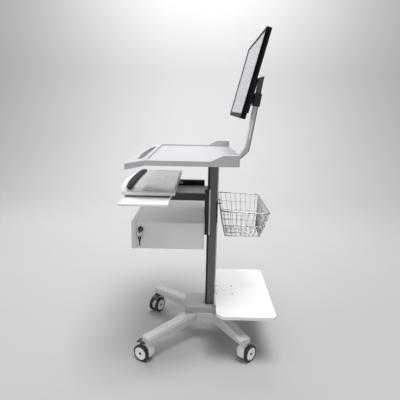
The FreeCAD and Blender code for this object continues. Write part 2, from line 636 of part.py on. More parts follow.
def make_monitor():
    """The bezel with its display, and the housing whose raised middle holds the electronics."""
    frame = monitor_frame()
    block = box("bezel_block", "-monitor_side", "0", "0", "2 * monitor_side", "bezel_depth",
                "monitor_height")
    whole = round_edges("bezel_outer", block, "monitor_corner", front_to_back)
    opening = box("bezel_opening", "bezel_side - monitor_side", "-1", "bezel_foot",
                  "2 * (monitor_side - bezel_side)", "20", "monitor_height - bezel_foot - bezel_top")
    pocket = box("bezel_pocket", "4 - monitor_side", "bezel_lip", "4", "2 * (monitor_side - 4)", "20",
                 "monitor_height - 8")
    keep(cut("bezel_cut", whole, opening, pocket), "monitor_bezel", frame)
    panel = box("panel_block", "4.5 - monitor_side", "bezel_lip", "4.5", "2 * (monitor_side - 4.5)",
                "bezel_depth - bezel_lip - 1", "monitor_height - 9")
    keep(panel, "screen_panel", frame)
    block = box("back_block", "-monitor_side", "bezel_depth", "0", "2 * monitor_side",
                "monitor_depth - bezel_depth", "monitor_height")
    corners = round_edges("back_corners", block, "monitor_corner", front_to_back)
    rear = number("monitor_depth")
    back = round_edges("back_soft", corners, "3", lambda edge: edge.YMin > rear - 0.01)
    hump_side = [("monitor_depth - 1", "hump_foot"), ("monitor_depth + hump_depth", "hump_foot + 10"),
                 ("monitor_depth + hump_depth", "hump_top - 6"), ("monitor_depth - 1", "hump_top + 10")]
    hump = prism("back_hump", "YZ", hump_side, "-hump_side", "2 * hump_side")
    hollow = box("back_hollow", "12 - monitor_side", "bezel_depth - 1", "12", "2 * (monitor_side - 12)",
                 "6", "monitor_height - 24")
    taps = [cylinder(f"vesa_tap_{i}", "2.1", "12", x, "monitor_depth + hump_depth - 8", z, "y")
            for i, (x, z) in enumerate(vesa_places())]
    keep(cut("back_cut", fuse("back_whole", back, hump), hollow, *taps), "monitor_back", frame)


def vesa_places():
    return [(f"{i} * vesa_pitch / 2", f"vesa_height + {j} * vesa_pitch / 2")
            for i in (-1, 1) for j in (-1, 1)]


def make_vesa_bracket():
    frame = monitor_frame()
    pin = pin_in(frame)
    back = "monitor_depth + hump_depth"
    plate = box("vesa_plate_box", "-vesa_side", back, "vesa_height - vesa_side - 1", "2 * vesa_side",
                "vesa_plate", "2 * vesa_side + 2")
    flange = box("vesa_flange", "-20", back, "vesa_height + vesa_side - 2", "40", "13", "3")
    web = box("vesa_lug_web", "-lug_side", back, f"{pin.z} - lug_radius", "2 * lug_side",
              f"{pin.y} - monitor_depth - hump_depth", "2 * lug_radius")
    lug = cylinder("vesa_lug", "lug_radius", "2 * lug_side", "-lug_side", str(pin.y), str(pin.z), "x")
    bore = cylinder("vesa_lug_bore", "pin_radius + running_gap", "40", "-20", str(pin.y), str(pin.z), "x")
    holes = [cylinder(f"vesa_hole_{i}", "2.4", "10", x, f"{back} - 2", z, "y")
             for i, (x, z) in enumerate(vesa_places())]
    keep(cut("vesa_cut", fuse("vesa_whole", plate, flange, web, lug), bore, *holes), "vesa_bracket", frame)
    screws = []
    for i, (x, z) in enumerate(vesa_places()):
        shank = cylinder(f"vesa_shank_{i}", "1.9", "10", x, f"{back} + vesa_plate - 10", z, "y")
        head = cylinder(f"vesa_head_{i}", "3.5", "2.4", x, f"{back} + vesa_plate", z, "y")
        screws.append(fuse(f"vesa_screw_{i}", shank, head))
    keep(group("vesa_screw_set", screws), "vesa_screws", frame)


# ---------------------------------------------------------------- keyboard tray and slides

def rail_pair(name, side_place, rear, length, foot, tall, thick):
    """Two C sections with their open sides facing each other."""
    rails = []
    for word, side in (("right", 1), ("left", -1)):
        low_x = f"{side_place} - {thick} / 2" if side > 0 else f"-({side_place}) - {thick} / 2"
        whole = box(f"{name}_{word}", low_x, rear, foot, thick, length, tall)
        inside = box(f"{name}_{word}_inside", f"{low_x} + slide_wall", f"{rear} - 1",
                     f"{foot} + slide_wall", f"{thick} - 2 * slide_wall", f"{length} + 2",
                     f"{tall} - 2 * slide_wall")
        mouth_x = f"{low_x} - 1" if side > 0 else f"{low_x} + {thick} - slide_wall - 1"
        mouth = box(f"{name}_{word}_mouth", mouth_x, f"{rear} - 1", f"{foot} + slide_wall + slide_mouth",
                    "slide_wall + 2", f"{length} + 2", f"{tall} - 2 * slide_wall - 2 * slide_mouth")
        rails.append(cut(f"{name}_{word}_rail", whole, inside, mouth))
    return group(f"{name}_set", rails)


def runner_pair(name, side_place, inner_edge, rear, length, foot, tall, thick):
    """The moving bars that run inside a pair of C sections and stand out of their mouths."""
    bars = []
    for word, side in (("right", 1), ("left", -1)):
        body_x = f"{side_place} - {thick} / 2 + slide_wall + slide_play"
        wide = f"{thick} - 2 * slide_wall - 2 * slide_play"
        tongue_wide = f"({body_x} - {inner_edge} + 1)"
        tongue_x = inner_edge
        if side < 0:
            body_x = f"-({body_x}) - ({wide})"
            tongue_x = f"-({inner_edge}) - {tongue_wide}"
        bar = box(f"{name}_{word}_bar", body_x, rear, f"{foot} + slide_wall + slide_play", wide, length,
                  f"{tall} - 2 * slide_wall - 2 * slide_play")
        tongue = box(f"{name}_{word}_tongue", tongue_x, rear,
                     f"{foot} + slide_wall + slide_mouth + slide_play", tongue_wide, length,
                     f"{tall} - 2 * (slide_wall + slide_mouth + slide_play)")
        bars.append(fuse(f"{name}_{word}_runner", bar, tongue))
    return group(f"{name}_set", bars)


def make_tray_slides():
    rails = rail_pair("tray_rail", "slide_side", "-slide_rear - slide_length", "slide_length", "slide_foot",
                      "slide_tall", "slide_thick")
    runners = runner_pair("tray_runner", "slide_side", "hanger_side",
                          "-slide_rear - slide_length - slide_travel - 2", "slide_length", "slide_foot",
                          "slide_tall", "slide_thick")
    keep(group("tray_runner_whole", [runners, *hanger_tabs()]), "tray_runners")
    return rails


def make_keyboard_bracket():
    wall_x = "slide_side + slide_thick / 2"
    front = "-slide_rear - slide_length - 4"
    tall = "tray_bracket_top - tray_bracket_foot"
    floor = box("tray_floor", f"-({wall_x}) - sheet", front, "tray_bracket_foot",
                f"2 * ({wall_x}) + 2 * sheet", "slide_length + 8", "sheet")
    walls = [box(f"tray_wall_{i}", x, front, "tray_bracket_foot", "sheet", "slide_length + 8", tall)
             for i, x in enumerate((wall_x, f"-({wall_x}) - sheet"))]
    end = box("tray_end", f"-({wall_x}) - sheet", "-cabinet_rear - 1.8", "tray_bracket_foot",
              f"2 * ({wall_x}) + 2 * sheet", "1.8", tall)
    keep(fuse("tray_bracket_whole", floor, *walls, end), "keyboard_bracket")


def make_keyboard_tray():
    plan = [("0", "-tray_front"), ("0.55 * tray_side", "-tray_front + 11"),
            ("tray_side - 14", "-tray_corner - 6"), ("tray_side", "-tray_corner + 12"),
            ("tray_side", "-tray_rear")]
    slab = prism("tray_slab", "XY", mirrored(plan), "tray_top - tray_thick", "tray_thick")
    seat = box("tray_seat", "-mat_side - 0.5", "-mat_front - 0.5", "tray_top - mat_thick",
               "2 * mat_side + 1", "mat_front - tray_rear - 8", "5")
    lip = box("tray_lip_box", "-tray_side + 6", "-tray_rear - 3", "tray_top - 3", "2 * tray_side - 12", "3",
              "tray_lip + 3")
    keep(cut("tray_cut", fuse("tray_whole", slab, lip, *mouse_guides()), seat), "keyboard_tray")
    mat = box("mat_box", "-mat_side", "-mat_front", "tray_top - mat_thick", "2 * mat_side",
              "mat_front - tray_rear - 9", "mat_thick")
    keep(mat, "tray_mat")


def make_wrist_rest():
    plan = [("0", "-rest_front"), ("0.5 * rest_side", "-rest_front + 6"),
            ("0.85 * rest_side", "-rest_end - 10"), ("rest_side", "-rest_end + 8"),
            ("rest_side - 4", "-rest_rear")]
    keep(prism("rest_body", "XY", mirrored(plan), "tray_top", "rest_height", "4"), "wrist_rest")


def hanger_tabs():
    """Four upright tabs that hang the keyboard tray on its two runners."""
    tabs = []
    for word, x in (("right", "hanger_side - hanger_thick"), ("left", "-hanger_side")):
        for end, y in (("front", "-slide_rear - slide_length - slide_travel"), ("rear", "-tray_rear - 9")):
            tabs.append(box(f"hanger_{word}_{end}", x, y, "slide_foot + 8", "hanger_thick", "8",
                            "tray_top - tray_thick - slide_foot - 8"))
    return tabs


def make_mouse_tray():
    long_x = "mouse_outer - mouse_inner"
    long_y = "mouse_front - mouse_rear"
    floor = box("mouse_plate", "mouse_inner", "-mouse_front", "mouse_floor", long_x, long_y, "sheet")
    rims = [box("mouse_rear_rim", "mouse_inner", "-mouse_rear - sheet", "mouse_floor", long_x, "sheet",
                "mouse_rim"),
            box("mouse_front_rim", "mouse_inner", "-mouse_front", "mouse_floor", long_x, "sheet",
                "mouse_rim"),
            box("mouse_end_rim", "mouse_outer - sheet", "-mouse_front", "mouse_floor", "sheet", long_y,
                "mouse_rim")]
    keep(fuse("mouse_tray_whole", floor, *rims), "mouse_tray")


def mouse_guides():
    """Two lipped rails under the keyboard tray that the mouse tray's edges run in."""
    guides = []
    foot = "mouse_floor - 2.4"
    tall = "tray_top - tray_thick - mouse_floor + 2.4"
    places = (("rear", "-mouse_rear + 0.4", "-mouse_rear - 4"),
              ("front", "-mouse_front - 2.4", "-mouse_front - 2.4"))
    for word, wall_y, lip_y in places:
        wall = box(f"guide_{word}_wall", "-60", wall_y, foot, "tray_side + 50", "2", tall)
        lip = box(f"guide_{word}_lip", "-60", lip_y, foot, "tray_side + 50", "6.4", "2")
        guides.append(fuse(f"guide_{word}", wall, lip))
    return guides


# ---------------------------------------------------------------- drawer

def make_cabinet():
    tall = "cabinet_top - cabinet_foot"
    deep = "cabinet_front - cabinet_rear"
    whole = box("cabinet_block", "-cabinet_side", "-cabinet_front", "cabinet_foot", "2 * cabinet_side",
                deep, tall)

    def folded(edge):
        return edge.YLength > 100 or (edge.ZLength > 50 and edge.YMax > -100)

    bent = round_edges("cabinet_bent", whole, "cabinet_bend", folded)
    inside = box("cabinet_inside", "-cabinet_side + cabinet_wall", "-cabinet_front - 1",
                 "cabinet_foot + cabinet_wall", "2 * (cabinet_side - cabinet_wall)",
                 f"{deep} - cabinet_wall + 1", f"{tall} - 2 * cabinet_wall")
    hollow = round_edges("cabinet_hollow", inside, "cabinet_bend - cabinet_wall", folded)
    lock_hole = cylinder("cabinet_lock_hole", "lock_radius + running_gap", "20", "cabinet_side - 10",
                         "-lock_reach", "lock_height", "x")
    keep(cut("cabinet_cut", bent, hollow, lock_hole), "drawer_cabinet")


def make_drawer():
    front = box("front_block", "-cabinet_side", "-cabinet_front - 0.6 - front_thick", "cabinet_foot",
                "2 * cabinet_side", "front_thick", "cabinet_top - cabinet_foot")
    pull = box("front_pull", "-60", "-cabinet_front - 0.6 - front_thick + 4", "cabinet_foot - 1", "120",
               "10", "9")
    keep(cut("front_cut", front, pull), "drawer_front")
    whole = box("drawer_block", "-drawer_side", "-cabinet_front - 0.6", "drawer_foot", "2 * drawer_side",
                "drawer_depth", "drawer_tall")
    inside = box("drawer_inside", "1.2 - drawer_side", "0.6 - cabinet_front", "drawer_foot + 1.2",
                 "2 * (drawer_side - 1.2)", "drawer_depth - 2.4", "drawer_tall")
    web = box("keeper_web", "drawer_side", "-keeper_reach", "drawer_foot + drawer_tall - 17", "1.1", "3",
              "35")
    hook = box("keeper_hook", "drawer_side", "-keeper_reach", "lock_height + 6", "3.3", "3", "13")
    rails, runners = make_drawer_slides()
    tray = fuse("drawer_tray_whole", cut("drawer_cut", whole, inside), web, hook)
    keep(group("drawer_whole", [tray, runners]), "drawer_tray")
    return rails


def make_drawer_slides():
    rear = "-cabinet_rear - 258"
    place = "(cabinet_side - cabinet_wall - slide_thick / 2)"
    rails = rail_pair("drawer_rail", place, rear, "250", "drawer_slide_height", "drawer_slide_tall",
                      "slide_thick")
    runners = runner_pair("drawer_runner", place, "drawer_side", "-cabinet_front + 2", "240",
                          "drawer_slide_height", "drawer_slide_tall", "slide_thick")
    return rails, runners


def make_lock():
    face = "cabinet_side"
    barrel = cylinder("lock_barrel", "lock_radius", "14", f"{face} - 14", "-lock_reach", "lock_height", "x")
    flange = cylinder("lock_flange", "lock_face", "2.5", face, "-lock_reach", "lock_height", "x")
    keyway = cylinder("lock_keyway", "lock_radius - 3.45", "40", f"{face} - 20", "-lock_reach",
                      "lock_height", "x")
    keep(cut("lock_cut", fuse("lock_whole", barrel, flange), keyway), "lock_body")
    plug = cylinder("plug_barrel", "lock_radius - 3.5", "18.5", f"{face} - 16", "-lock_reach",
                    "lock_height", "x")
    cam = box("lock_cam", f"{face} - 18", "-lock_reach - cam_reach", "lock_height - 4", "2",
              "cam_reach + 4", "8")
    keep(fuse("plug_whole", plug, cam), "lock_plug")
    blade = box("key_blade", f"{face} + 2.5", "-lock_reach - 1.2", "lock_height - 3", "12", "2.4", "6")
    bow = cylinder("key_bow", "11", "3", f"{face} + key_eye - 4", "-lock_reach - 1.5", "lock_height", "y")
    eye = cylinder("key_hole", "4.6", "12", f"{face} + key_eye", "-lock_reach - 6", "lock_height", "y")
    keep(cut("key_cut", fuse("key_whole", blade, bow), eye), "key")


def make_spare_key():
    """A second key that hangs from a split ring through the first key's bow."""
    eye = Vector(number("cabinet_side + key_eye"), number("-lock_reach"), number("lock_height"))
    radius = number("key_ring_radius")
    centre = eye - Vector(0, 0, radius)
    ring = DOC.addObject("Part::Torus", "ring_torus")
    bind(ring, Radius1="key_ring_radius", Radius2="ring_wire")
    ring.Placement = Placement(centre, Rotation(Vector(0, 1, 0), 90))
    bow = cylinder("spare_bow", "7.5", "3", "-1.5", "0", "-4", "x")
    tail = box("spare_tail", "-1.5", "-4", "-20", "3", "8", "14")
    blade = box("spare_blade", "-1", "-2.6", "-38", "2", "5.2", "20")
    hole = cylinder("spare_hole", "3.6", "12", "-6", "0", "0", "x")
    spare = cut("spare_cut", fuse("spare_whole", bow, tail, blade), hole)
    spare.Placement = Placement(centre + Vector(0, 0, -radius), Rotation(Vector(0, 0, 1), 45))
    keep(group("spare_key_set", [ring, spare]), "spare_key")


def make_mounts():
    """The black block that spaces the cabinet off the column, and the pale clamp strips beside it."""
    tall = "mount_top - mount_foot"
    web = box("mount_web", "-column_side - 3.2", "-cabinet_rear", "mount_foot", "2 * (column_side + 3.2)",
              "cabinet_rear - column_front - front_strip", tall)
    deep = "cabinet_rear - clamp_front"
    cheeks = [box(f"mount_cheek_{i}", x, "-cabinet_rear", "mount_foot", "3", deep, tall)
              for i, x in enumerate(("column_side + 0.2", "-column_side - 3.2"))]
    bracket = fuse("mount_whole", web, *cheeks)
    strips = [box(f"clamp_strip_{i}", x, "-clamp_front", "mount_foot", "3", "clamp_front - clamp_rear", tall)
              for i, x in enumerate(("column_side", "-column_side - 3"))]
    keep(group("mount_set", [bracket, *strips]), "column_bracket")


# ---------------------------------------------------------------- basket

# Heights of the thin level wires, as shares of the way from the basket's floor to its rim.
THIN_LEVELS = (0.16, 0.31, 0.73)


def rod(start, end, radius):
    run = end - start
    return Part.makeCylinder(radius, run.Length, start, run)


def loop_of_wire(corners, radius, bend):
    """A closed wire hoop with bent corners, swept round its own centre line."""
    count = len(corners)
    arcs = []
    for i in range(count):
        before = (corners[i - 1] - corners[i]).normalize()
        after = (corners[(i + 1) % count] - corners[i]).normalize()
        half = before.getAngle(after) / 2
        cut_back = bend / math.tan(half)
        bisector = (before + after).normalize()
        middle = corners[i] + bisector * (bend / math.sin(half) - bend)
        arcs.append((corners[i] + before * cut_back, middle, corners[i] + after * cut_back))
    edges = []
    for i, (start, middle, end) in enumerate(arcs):
        edges.append(Part.Arc(start, middle, end).toShape())
        edges.append(Part.LineSegment(end, arcs[(i + 1) % count][0]).toShape())
    path = Part.Wire(edges)
    first = arcs[0][0]
    section = Part.Wire([Part.Circle(first, first - arcs[-1][2], radius).toShape()])
    return path.makePipeShell([section], True, True)


def basket_corners(level):
    """Corners of the basket at a level from 0, the floor, to 1, the rim. The rim drops towards the back."""
    def blend(low, high):
        return number(low) + level * (number(high) - number(low))
    side = blend("basket_foot_side", "basket_side")
    front = blend("basket_foot_front", "basket_front")
    rear = blend("basket_foot_rear", "basket_rear")
    top = blend("basket_foot", "basket_top")
    drop = level * number("basket_drop")
    return [Vector(side, front, top), Vector(side, rear, top - drop), Vector(-side, rear, top - drop),
            Vector(-side, front, top)]


def solid_feature(name, shape):
    thing = DOC.addObject("Part::Feature", name)
    thing.Shape = shape
    return thing


def corners_outside(level, radius):
    """Corners of a wire that runs round outside the upright wires at a level."""
    side = number("thin_wire + weld_gap") + radius
    slope = number("(basket_side - basket_foot_side) / (basket_top - basket_foot)")
    reach = side * math.hypot(1, slope)
    outward = [Vector(1, -1, 0), Vector(1, 1, 0), Vector(-1, 1, 0), Vector(-1, -1, 0)]
    return [corner + way * reach for corner, way in zip(basket_corners(level), outward)]


def make_basket_frame():
    """The three bent hoops: the thick rim, the middle one outside the uprights and the floor's."""
    hoop = number("hoop_wire")
    bend = number("hoop_bend")
    middle = number("(basket_mid - basket_foot) / (basket_top - basket_foot)")
    hoops = [loop_of_wire(basket_corners(1), number("rim_wire"), number("basket_bend")),
             loop_of_wire(corners_outside(middle, hoop), hoop, bend),
             loop_of_wire(basket_corners(0), hoop, bend)]
    keep(solid_feature("basket_hoop_set", Part.makeCompound(hoops)), "basket_hoops")


def wall_rods(first, last, low_first, low_last, count, margin):
    """Upright wires of one basket wall, evenly spaced from one corner to the next."""
    rods = []
    for i in range(count):
        share = (i + 0.5) / count
        top = first + (last - first) * share
        low = low_first + (low_last - low_first) * share
        run = (low - top).normalize()
        rods.append(rod(top + run * margin, low - run * margin, number("thin_wire")))
    return rods


def level_rods(a, b, count):
    """Thin level wires along one basket wall, from its first upright to its last."""
    thin = number("thin_wire")
    rods = []
    for level in THIN_LEVELS:
        corners = corners_outside(level, thin)
        inset = (corners[b] - corners[a]) * (0.4 / count)
        rods.append(rod(corners[a] + inset, corners[b] - inset, thin))
    return rods


def make_basket_walls():
    top = basket_corners(1)
    low = basket_corners(0)
    margin = number("rim_wire") + 1
    names = {"basket_wall_right": (0, 1, 8), "basket_wall_rear": (1, 2, 15), "basket_wall_left": (2, 3, 8),
             "basket_wall_front": (3, 0, 15)}
    for name, (a, b, count) in names.items():
        rods = wall_rods(top[a], top[b], low[a], low[b], count, margin) + level_rods(a, b, count)
        keep(solid_feature(name + "_rods", Part.makeCompound(rods)), name)
    rods = []
    gap = number("rim_wire") + 0.6
    for i in range(7):
        share = (i + 0.5) / 7
        start = low[0] + (low[3] - low[0]) * share
        end = low[1] + (low[2] - low[1]) * share
        rods.append(rod(start + Vector(0, gap, 0), end - Vector(0, gap, 0), number("thin_wire")))
    for i in range(6):
        share = (i + 0.5) / 6
        lift = Vector(0, 0, 2 * number("thin_wire") + 0.1)
        start = low[3] + (low[2] - low[3]) * share + lift
        end = low[0] + (low[1] - low[0]) * share + lift
        rods.append(rod(start + Vector(gap, 0, 0), end - Vector(gap, 0, 0), number("thin_wire")))
    keep(solid_feature("basket_floor_rods", Part.makeCompound(rods)), "basket_floor")


def make_basket_hooks():
    """Two black hangers on the column's rear face that carry the rim."""
    hooks = []
    for word, x in (("right", "34"), ("left", "-40")):
        strap = box(f"hook_{word}_strap", x, "column_rear", "basket_mid - 20", "6", "4",
                    "basket_top - basket_mid + 26")
        arm = box(f"hook_{word}_arm", x, "column_rear", "basket_top - rim_wire - 4", "6",
                  "basket_front - column_rear + rim_wire + 3", "4")
        tip = box(f"hook_{word}_tip", x, "basket_front + rim_wire + 0.4", "basket_top - rim_wire - 4",
                  "6", "2.6", "8")
        hooks.append(fuse(f"hook_{word}", strap, arm, tip))
    keep(group("hook_set", hooks), "basket_hooks")


# ---------------------------------------------------------------- lower shelf

def shelf_holes():
    rows = ("shelf_hole_front", "shelf_hole_rear")
    return [(f"{i} * shelf_hole_side", y) for i in (-1, 1) for y in rows]


def make_shelf():
    right = [("shelf_side - shelf_chamfer", "shelf_front"), ("shelf_side", "shelf_front + shelf_chamfer"),
             ("shelf_side", "shelf_rear - shelf_chamfer * 0.6"),
             ("shelf_side - shelf_chamfer * 0.6", "shelf_rear")]
    tray = prism("shelf_block", "XY", mirrored(right), "shelf_top - shelf_fold", "shelf_fold")
    inset = [("shelf_side - shelf_chamfer - 1", "shelf_front + 2"),
             ("shelf_side - 2", "shelf_front + shelf_chamfer + 1"),
             ("shelf_side - 2", "shelf_rear - shelf_chamfer * 0.6 - 1"),
             ("shelf_side - shelf_chamfer * 0.6 - 1", "shelf_rear - 2")]
    under = prism("shelf_under", "XY", mirrored(inset), "shelf_top - shelf_fold - 1", "shelf_fold - 1")
    hole, head = "screw_radius + 0.2", "screw_head_radius + 0.2"
    holes = [cone(f"shelf_hole_{i}", hole, head, "2", x, y, "shelf_top - 2")
             for i, (x, y) in enumerate(shelf_holes())]
    room = box("shelf_room", "-50", "shelf_front - 1", "shelf_top - shelf_fold - 1", "100", "4",
               "shelf_fold - 1")
    keep(cut("shelf_cut", tray, under, room, *holes), "lower_shelf")


def make_shelf_bracket():
    """A folded steel bracket: a back plate on the column and two gusseted arms under the shelf."""
    low = "cover_top + 2"
    top = "shelf_top - sheet"
    back = box("shelf_back", "-50", "column_rear", low, "100", "3", f"{top} - 3 - ({low})")
    ledge = box("shelf_ledge", "-50", "column_rear", f"{top} - 3", "100", "120 - column_rear", "3")
    side = [("column_rear", low), ("118", f"{top} - 14"), ("118", top + " - 3"),
            ("column_rear", top + " - 3")]
    gussets = [prism(f"shelf_gusset_{i}", "YZ", side, x, "3") for i, x in enumerate(("-50", "47"))]
    holes = [cylinder(f"ledge_hole_{i}", "shelf_screw - 0.4", "20", x, y, "shelf_top - 12")
             for i, (x, y) in enumerate(shelf_holes())]
    keep(cut("shelf_bracket_cut", fuse("shelf_bracket_whole", back, ledge, *gussets), *holes),
         "shelf_bracket")


# ---------------------------------------------------------------- build and export

def build():
    fill_sheet()
    make_hub()
    make_legs()
    make_base_cover()
    make_stems()
    make_casters()
    make_column()
    make_column_strips()
    make_column_bolts()
    make_top_plate()
    make_panel_screws()
    make_worktop()
    make_arm()
    make_clamp()
    make_monitor()
    make_vesa_bracket()
    make_keyboard_bracket()
    make_keyboard_tray()
    make_wrist_rest()
    make_mouse_tray()
    make_cabinet()
    keep(group("slide_rail_set", [make_tray_slides(), make_drawer()]), "slide_rails")
    make_lock()
    make_spare_key()
    make_mounts()
    make_basket_frame()
    make_basket_walls()
    make_basket_hooks()
    make_shelf()
    make_shelf_bracket()


def check():
    failed = [thing.Name for thing in DOC.Objects if "Invalid" in thing.State or "Error" in thing.State]
    for node in NODES:
        if node.Shape.isNull() or not node.Shape.isValid():
            failed.append(node.Label)
    if failed:
        raise RuntimeError(f"these objects failed: {failed}")


def export():
    os.makedirs("parts", exist_ok=True)
    for node in NODES:
        node.Shape.exportStep(f"parts/{node.Label}.step")


build()
DOC.recompute()
check()
export()
whole = Part.makeCompound([node.Shape for node in NODES]).BoundBox
print(len(NODES), "sub-parts; box", whole)
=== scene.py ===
"""Looks of the mobile computer cart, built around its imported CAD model. Lengths are metres."""

import json
import math

import bmesh
import bpy
from mathutils import Matrix, Vector


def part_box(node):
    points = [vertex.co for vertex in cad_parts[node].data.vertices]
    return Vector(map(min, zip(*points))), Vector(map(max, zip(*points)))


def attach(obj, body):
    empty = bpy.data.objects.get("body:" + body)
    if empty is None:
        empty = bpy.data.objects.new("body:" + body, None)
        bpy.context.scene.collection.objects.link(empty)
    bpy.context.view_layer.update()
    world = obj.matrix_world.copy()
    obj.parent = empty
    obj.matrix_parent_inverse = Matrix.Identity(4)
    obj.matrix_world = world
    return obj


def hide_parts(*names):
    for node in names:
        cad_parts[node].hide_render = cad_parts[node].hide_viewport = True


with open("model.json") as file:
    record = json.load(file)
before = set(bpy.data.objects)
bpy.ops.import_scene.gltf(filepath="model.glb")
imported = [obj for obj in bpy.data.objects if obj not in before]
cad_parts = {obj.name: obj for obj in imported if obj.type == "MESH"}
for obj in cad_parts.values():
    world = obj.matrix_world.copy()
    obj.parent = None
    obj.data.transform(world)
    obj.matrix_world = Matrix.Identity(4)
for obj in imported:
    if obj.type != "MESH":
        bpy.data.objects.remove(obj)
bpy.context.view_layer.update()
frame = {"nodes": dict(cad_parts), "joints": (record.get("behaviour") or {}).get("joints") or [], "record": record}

RECORD = frame["record"]
SLOT_OF = {part["node"]: part["material_slot"] for part in RECORD["subparts"]}
BODY_OF = {node: body for body, nodes in RECORD["behaviour"]["bodies"].items() for node in nodes}
MM = 0.001

# Where the column's axis stands, read from the column itself.
column_low, column_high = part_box("column")
AXIS_X = (column_low.x + column_high.x) / 2


# ---------------------------------------------------------------- materials

# The values of a noise between which a colour or a number goes from its low to its high end.
NOISE_LOW, NOISE_HIGH = 0.3, 0.7


class Paint:
    """A material with a Principled shader and one short call for each kind of node that feeds it."""

    def __init__(self, name, color, roughness, metallic=0.0, **sockets):
        self.material = bpy.data.materials.new(name)
        self.material.use_nodes = True
        self.tree = self.material.node_tree
        self.shader = self.tree.nodes["Principled BSDF"]
        self.color = color
        self.shader.inputs["Base Color"].default_value = (*color, 1)
        self.shader.inputs["Roughness"].default_value = roughness
        self.shader.inputs["Metallic"].default_value = metallic
        for socket, value in sockets.items():
            self.shader.inputs[socket.replace("_", " ")].default_value = value
        self.place = self.tree.nodes.new("ShaderNodeTexCoord").outputs["Object"]

    def node(self, kind):
        return self.tree.nodes.new("ShaderNode" + kind)

    def link(self, start, end):
        self.tree.links.new(start, end)

    def stretched(self, factors):
        """Object coordinates scaled by a different factor along each axis."""
        mapping = self.node("Mapping")
        mapping.inputs["Scale"].default_value = factors
        self.link(self.place, mapping.inputs["Vector"])
        return mapping.outputs["Vector"]

    def noise(self, scale, detail, place=None):
        noise = self.node("TexNoise")
        noise.inputs["Scale"].default_value = scale
        noise.inputs["Detail"].default_value = detail
        self.link(place or self.place, noise.inputs["Vector"])
        return noise.outputs["Fac"]

    def ramp(self, factor, low, high):
        """A colour that goes from low to high with a noise."""
        ramp = self.node("ValToRGB")
        ramp.color_ramp.elements[0].position = NOISE_LOW
        ramp.color_ramp.elements[1].position = NOISE_HIGH
        ramp.color_ramp.elements[0].color = (*low, 1)
        ramp.color_ramp.elements[1].color = (*high, 1)
        self.link(factor, ramp.inputs["Fac"])
        return ramp.outputs["Color"]

    def span(self, factor, low, high):
        """A number that goes from low to high with a noise."""
        span = self.node("MapRange")
        limits = {"From Min": NOISE_LOW, "From Max": NOISE_HIGH, "To Min": low, "To Max": high}
        for name, value in limits.items():
            span.inputs[name].default_value = value
        self.link(factor, span.inputs["Value"])
        return span.outputs["Result"]

    def mottled(self, scale, amount, place=None):
        """Varies the colour a little from place to place."""
        low = [max(0.0, c * (1 - amount)) for c in self.color]
        high = [min(1.0, c * (1 + amount)) for c in self.color]
        self.link(self.ramp(self.noise(scale, 3, place), low, high), self.shader.inputs["Base Color"])

    def uneven(self, scale, low, high, place=None):
        """Varies the roughness between two values."""
        self.link(self.span(self.noise(scale, 3, place), low, high), self.shader.inputs["Roughness"])

    def bumped(self, factor, depth):
        """Adds relief of the given depth in metres."""
        bump = self.node("Bump")
        bump.inputs["Distance"].default_value = depth
        bump.inputs["Strength"].default_value = 1
        self.link(factor, bump.inputs["Height"])
        self.link(bump.outputs["Normal"], self.shader.inputs["Normal"])
        return self


def moulded(name, color, roughness, grain=900, relief=0.00004, mottle=0.02, **sockets):
    """Injection-moulded plastic with a fine spark-eroded texture."""
    paint = Paint(name, color, roughness, **sockets)
    paint.mottled(9, mottle)
    paint.uneven(60, roughness - 0.05, roughness + 0.07)
    return paint.bumped(paint.noise(grain, 2), relief)


def powder_coat(name, color, roughness):
    """Baked powder paint with slight orange peel."""
    paint = Paint(name, color, roughness, Coat_Weight=0.25, Coat_Roughness=0.25)
    paint.mottled(7, 0.025)
    paint.uneven(35, roughness - 0.06, roughness + 0.08)
    return paint.bumped(paint.noise(420, 3), 0.00006)


def drawn_metal(name, color, roughness, along, fine=1500, relief=0.00002):
    """Metal with fine lines along one axis, as drawing, extruding or brushing leaves it."""
    paint = Paint(name, color, roughness, 1.0)
    lines = paint.stretched([4 if axis == along else fine for axis in "xyz"])
    paint.mottled(1, 0.10, lines)
    paint.uneven(1, roughness - 0.07, roughness + 0.09, lines)
    return paint.bumped(paint.noise(1, 2, lines), relief)


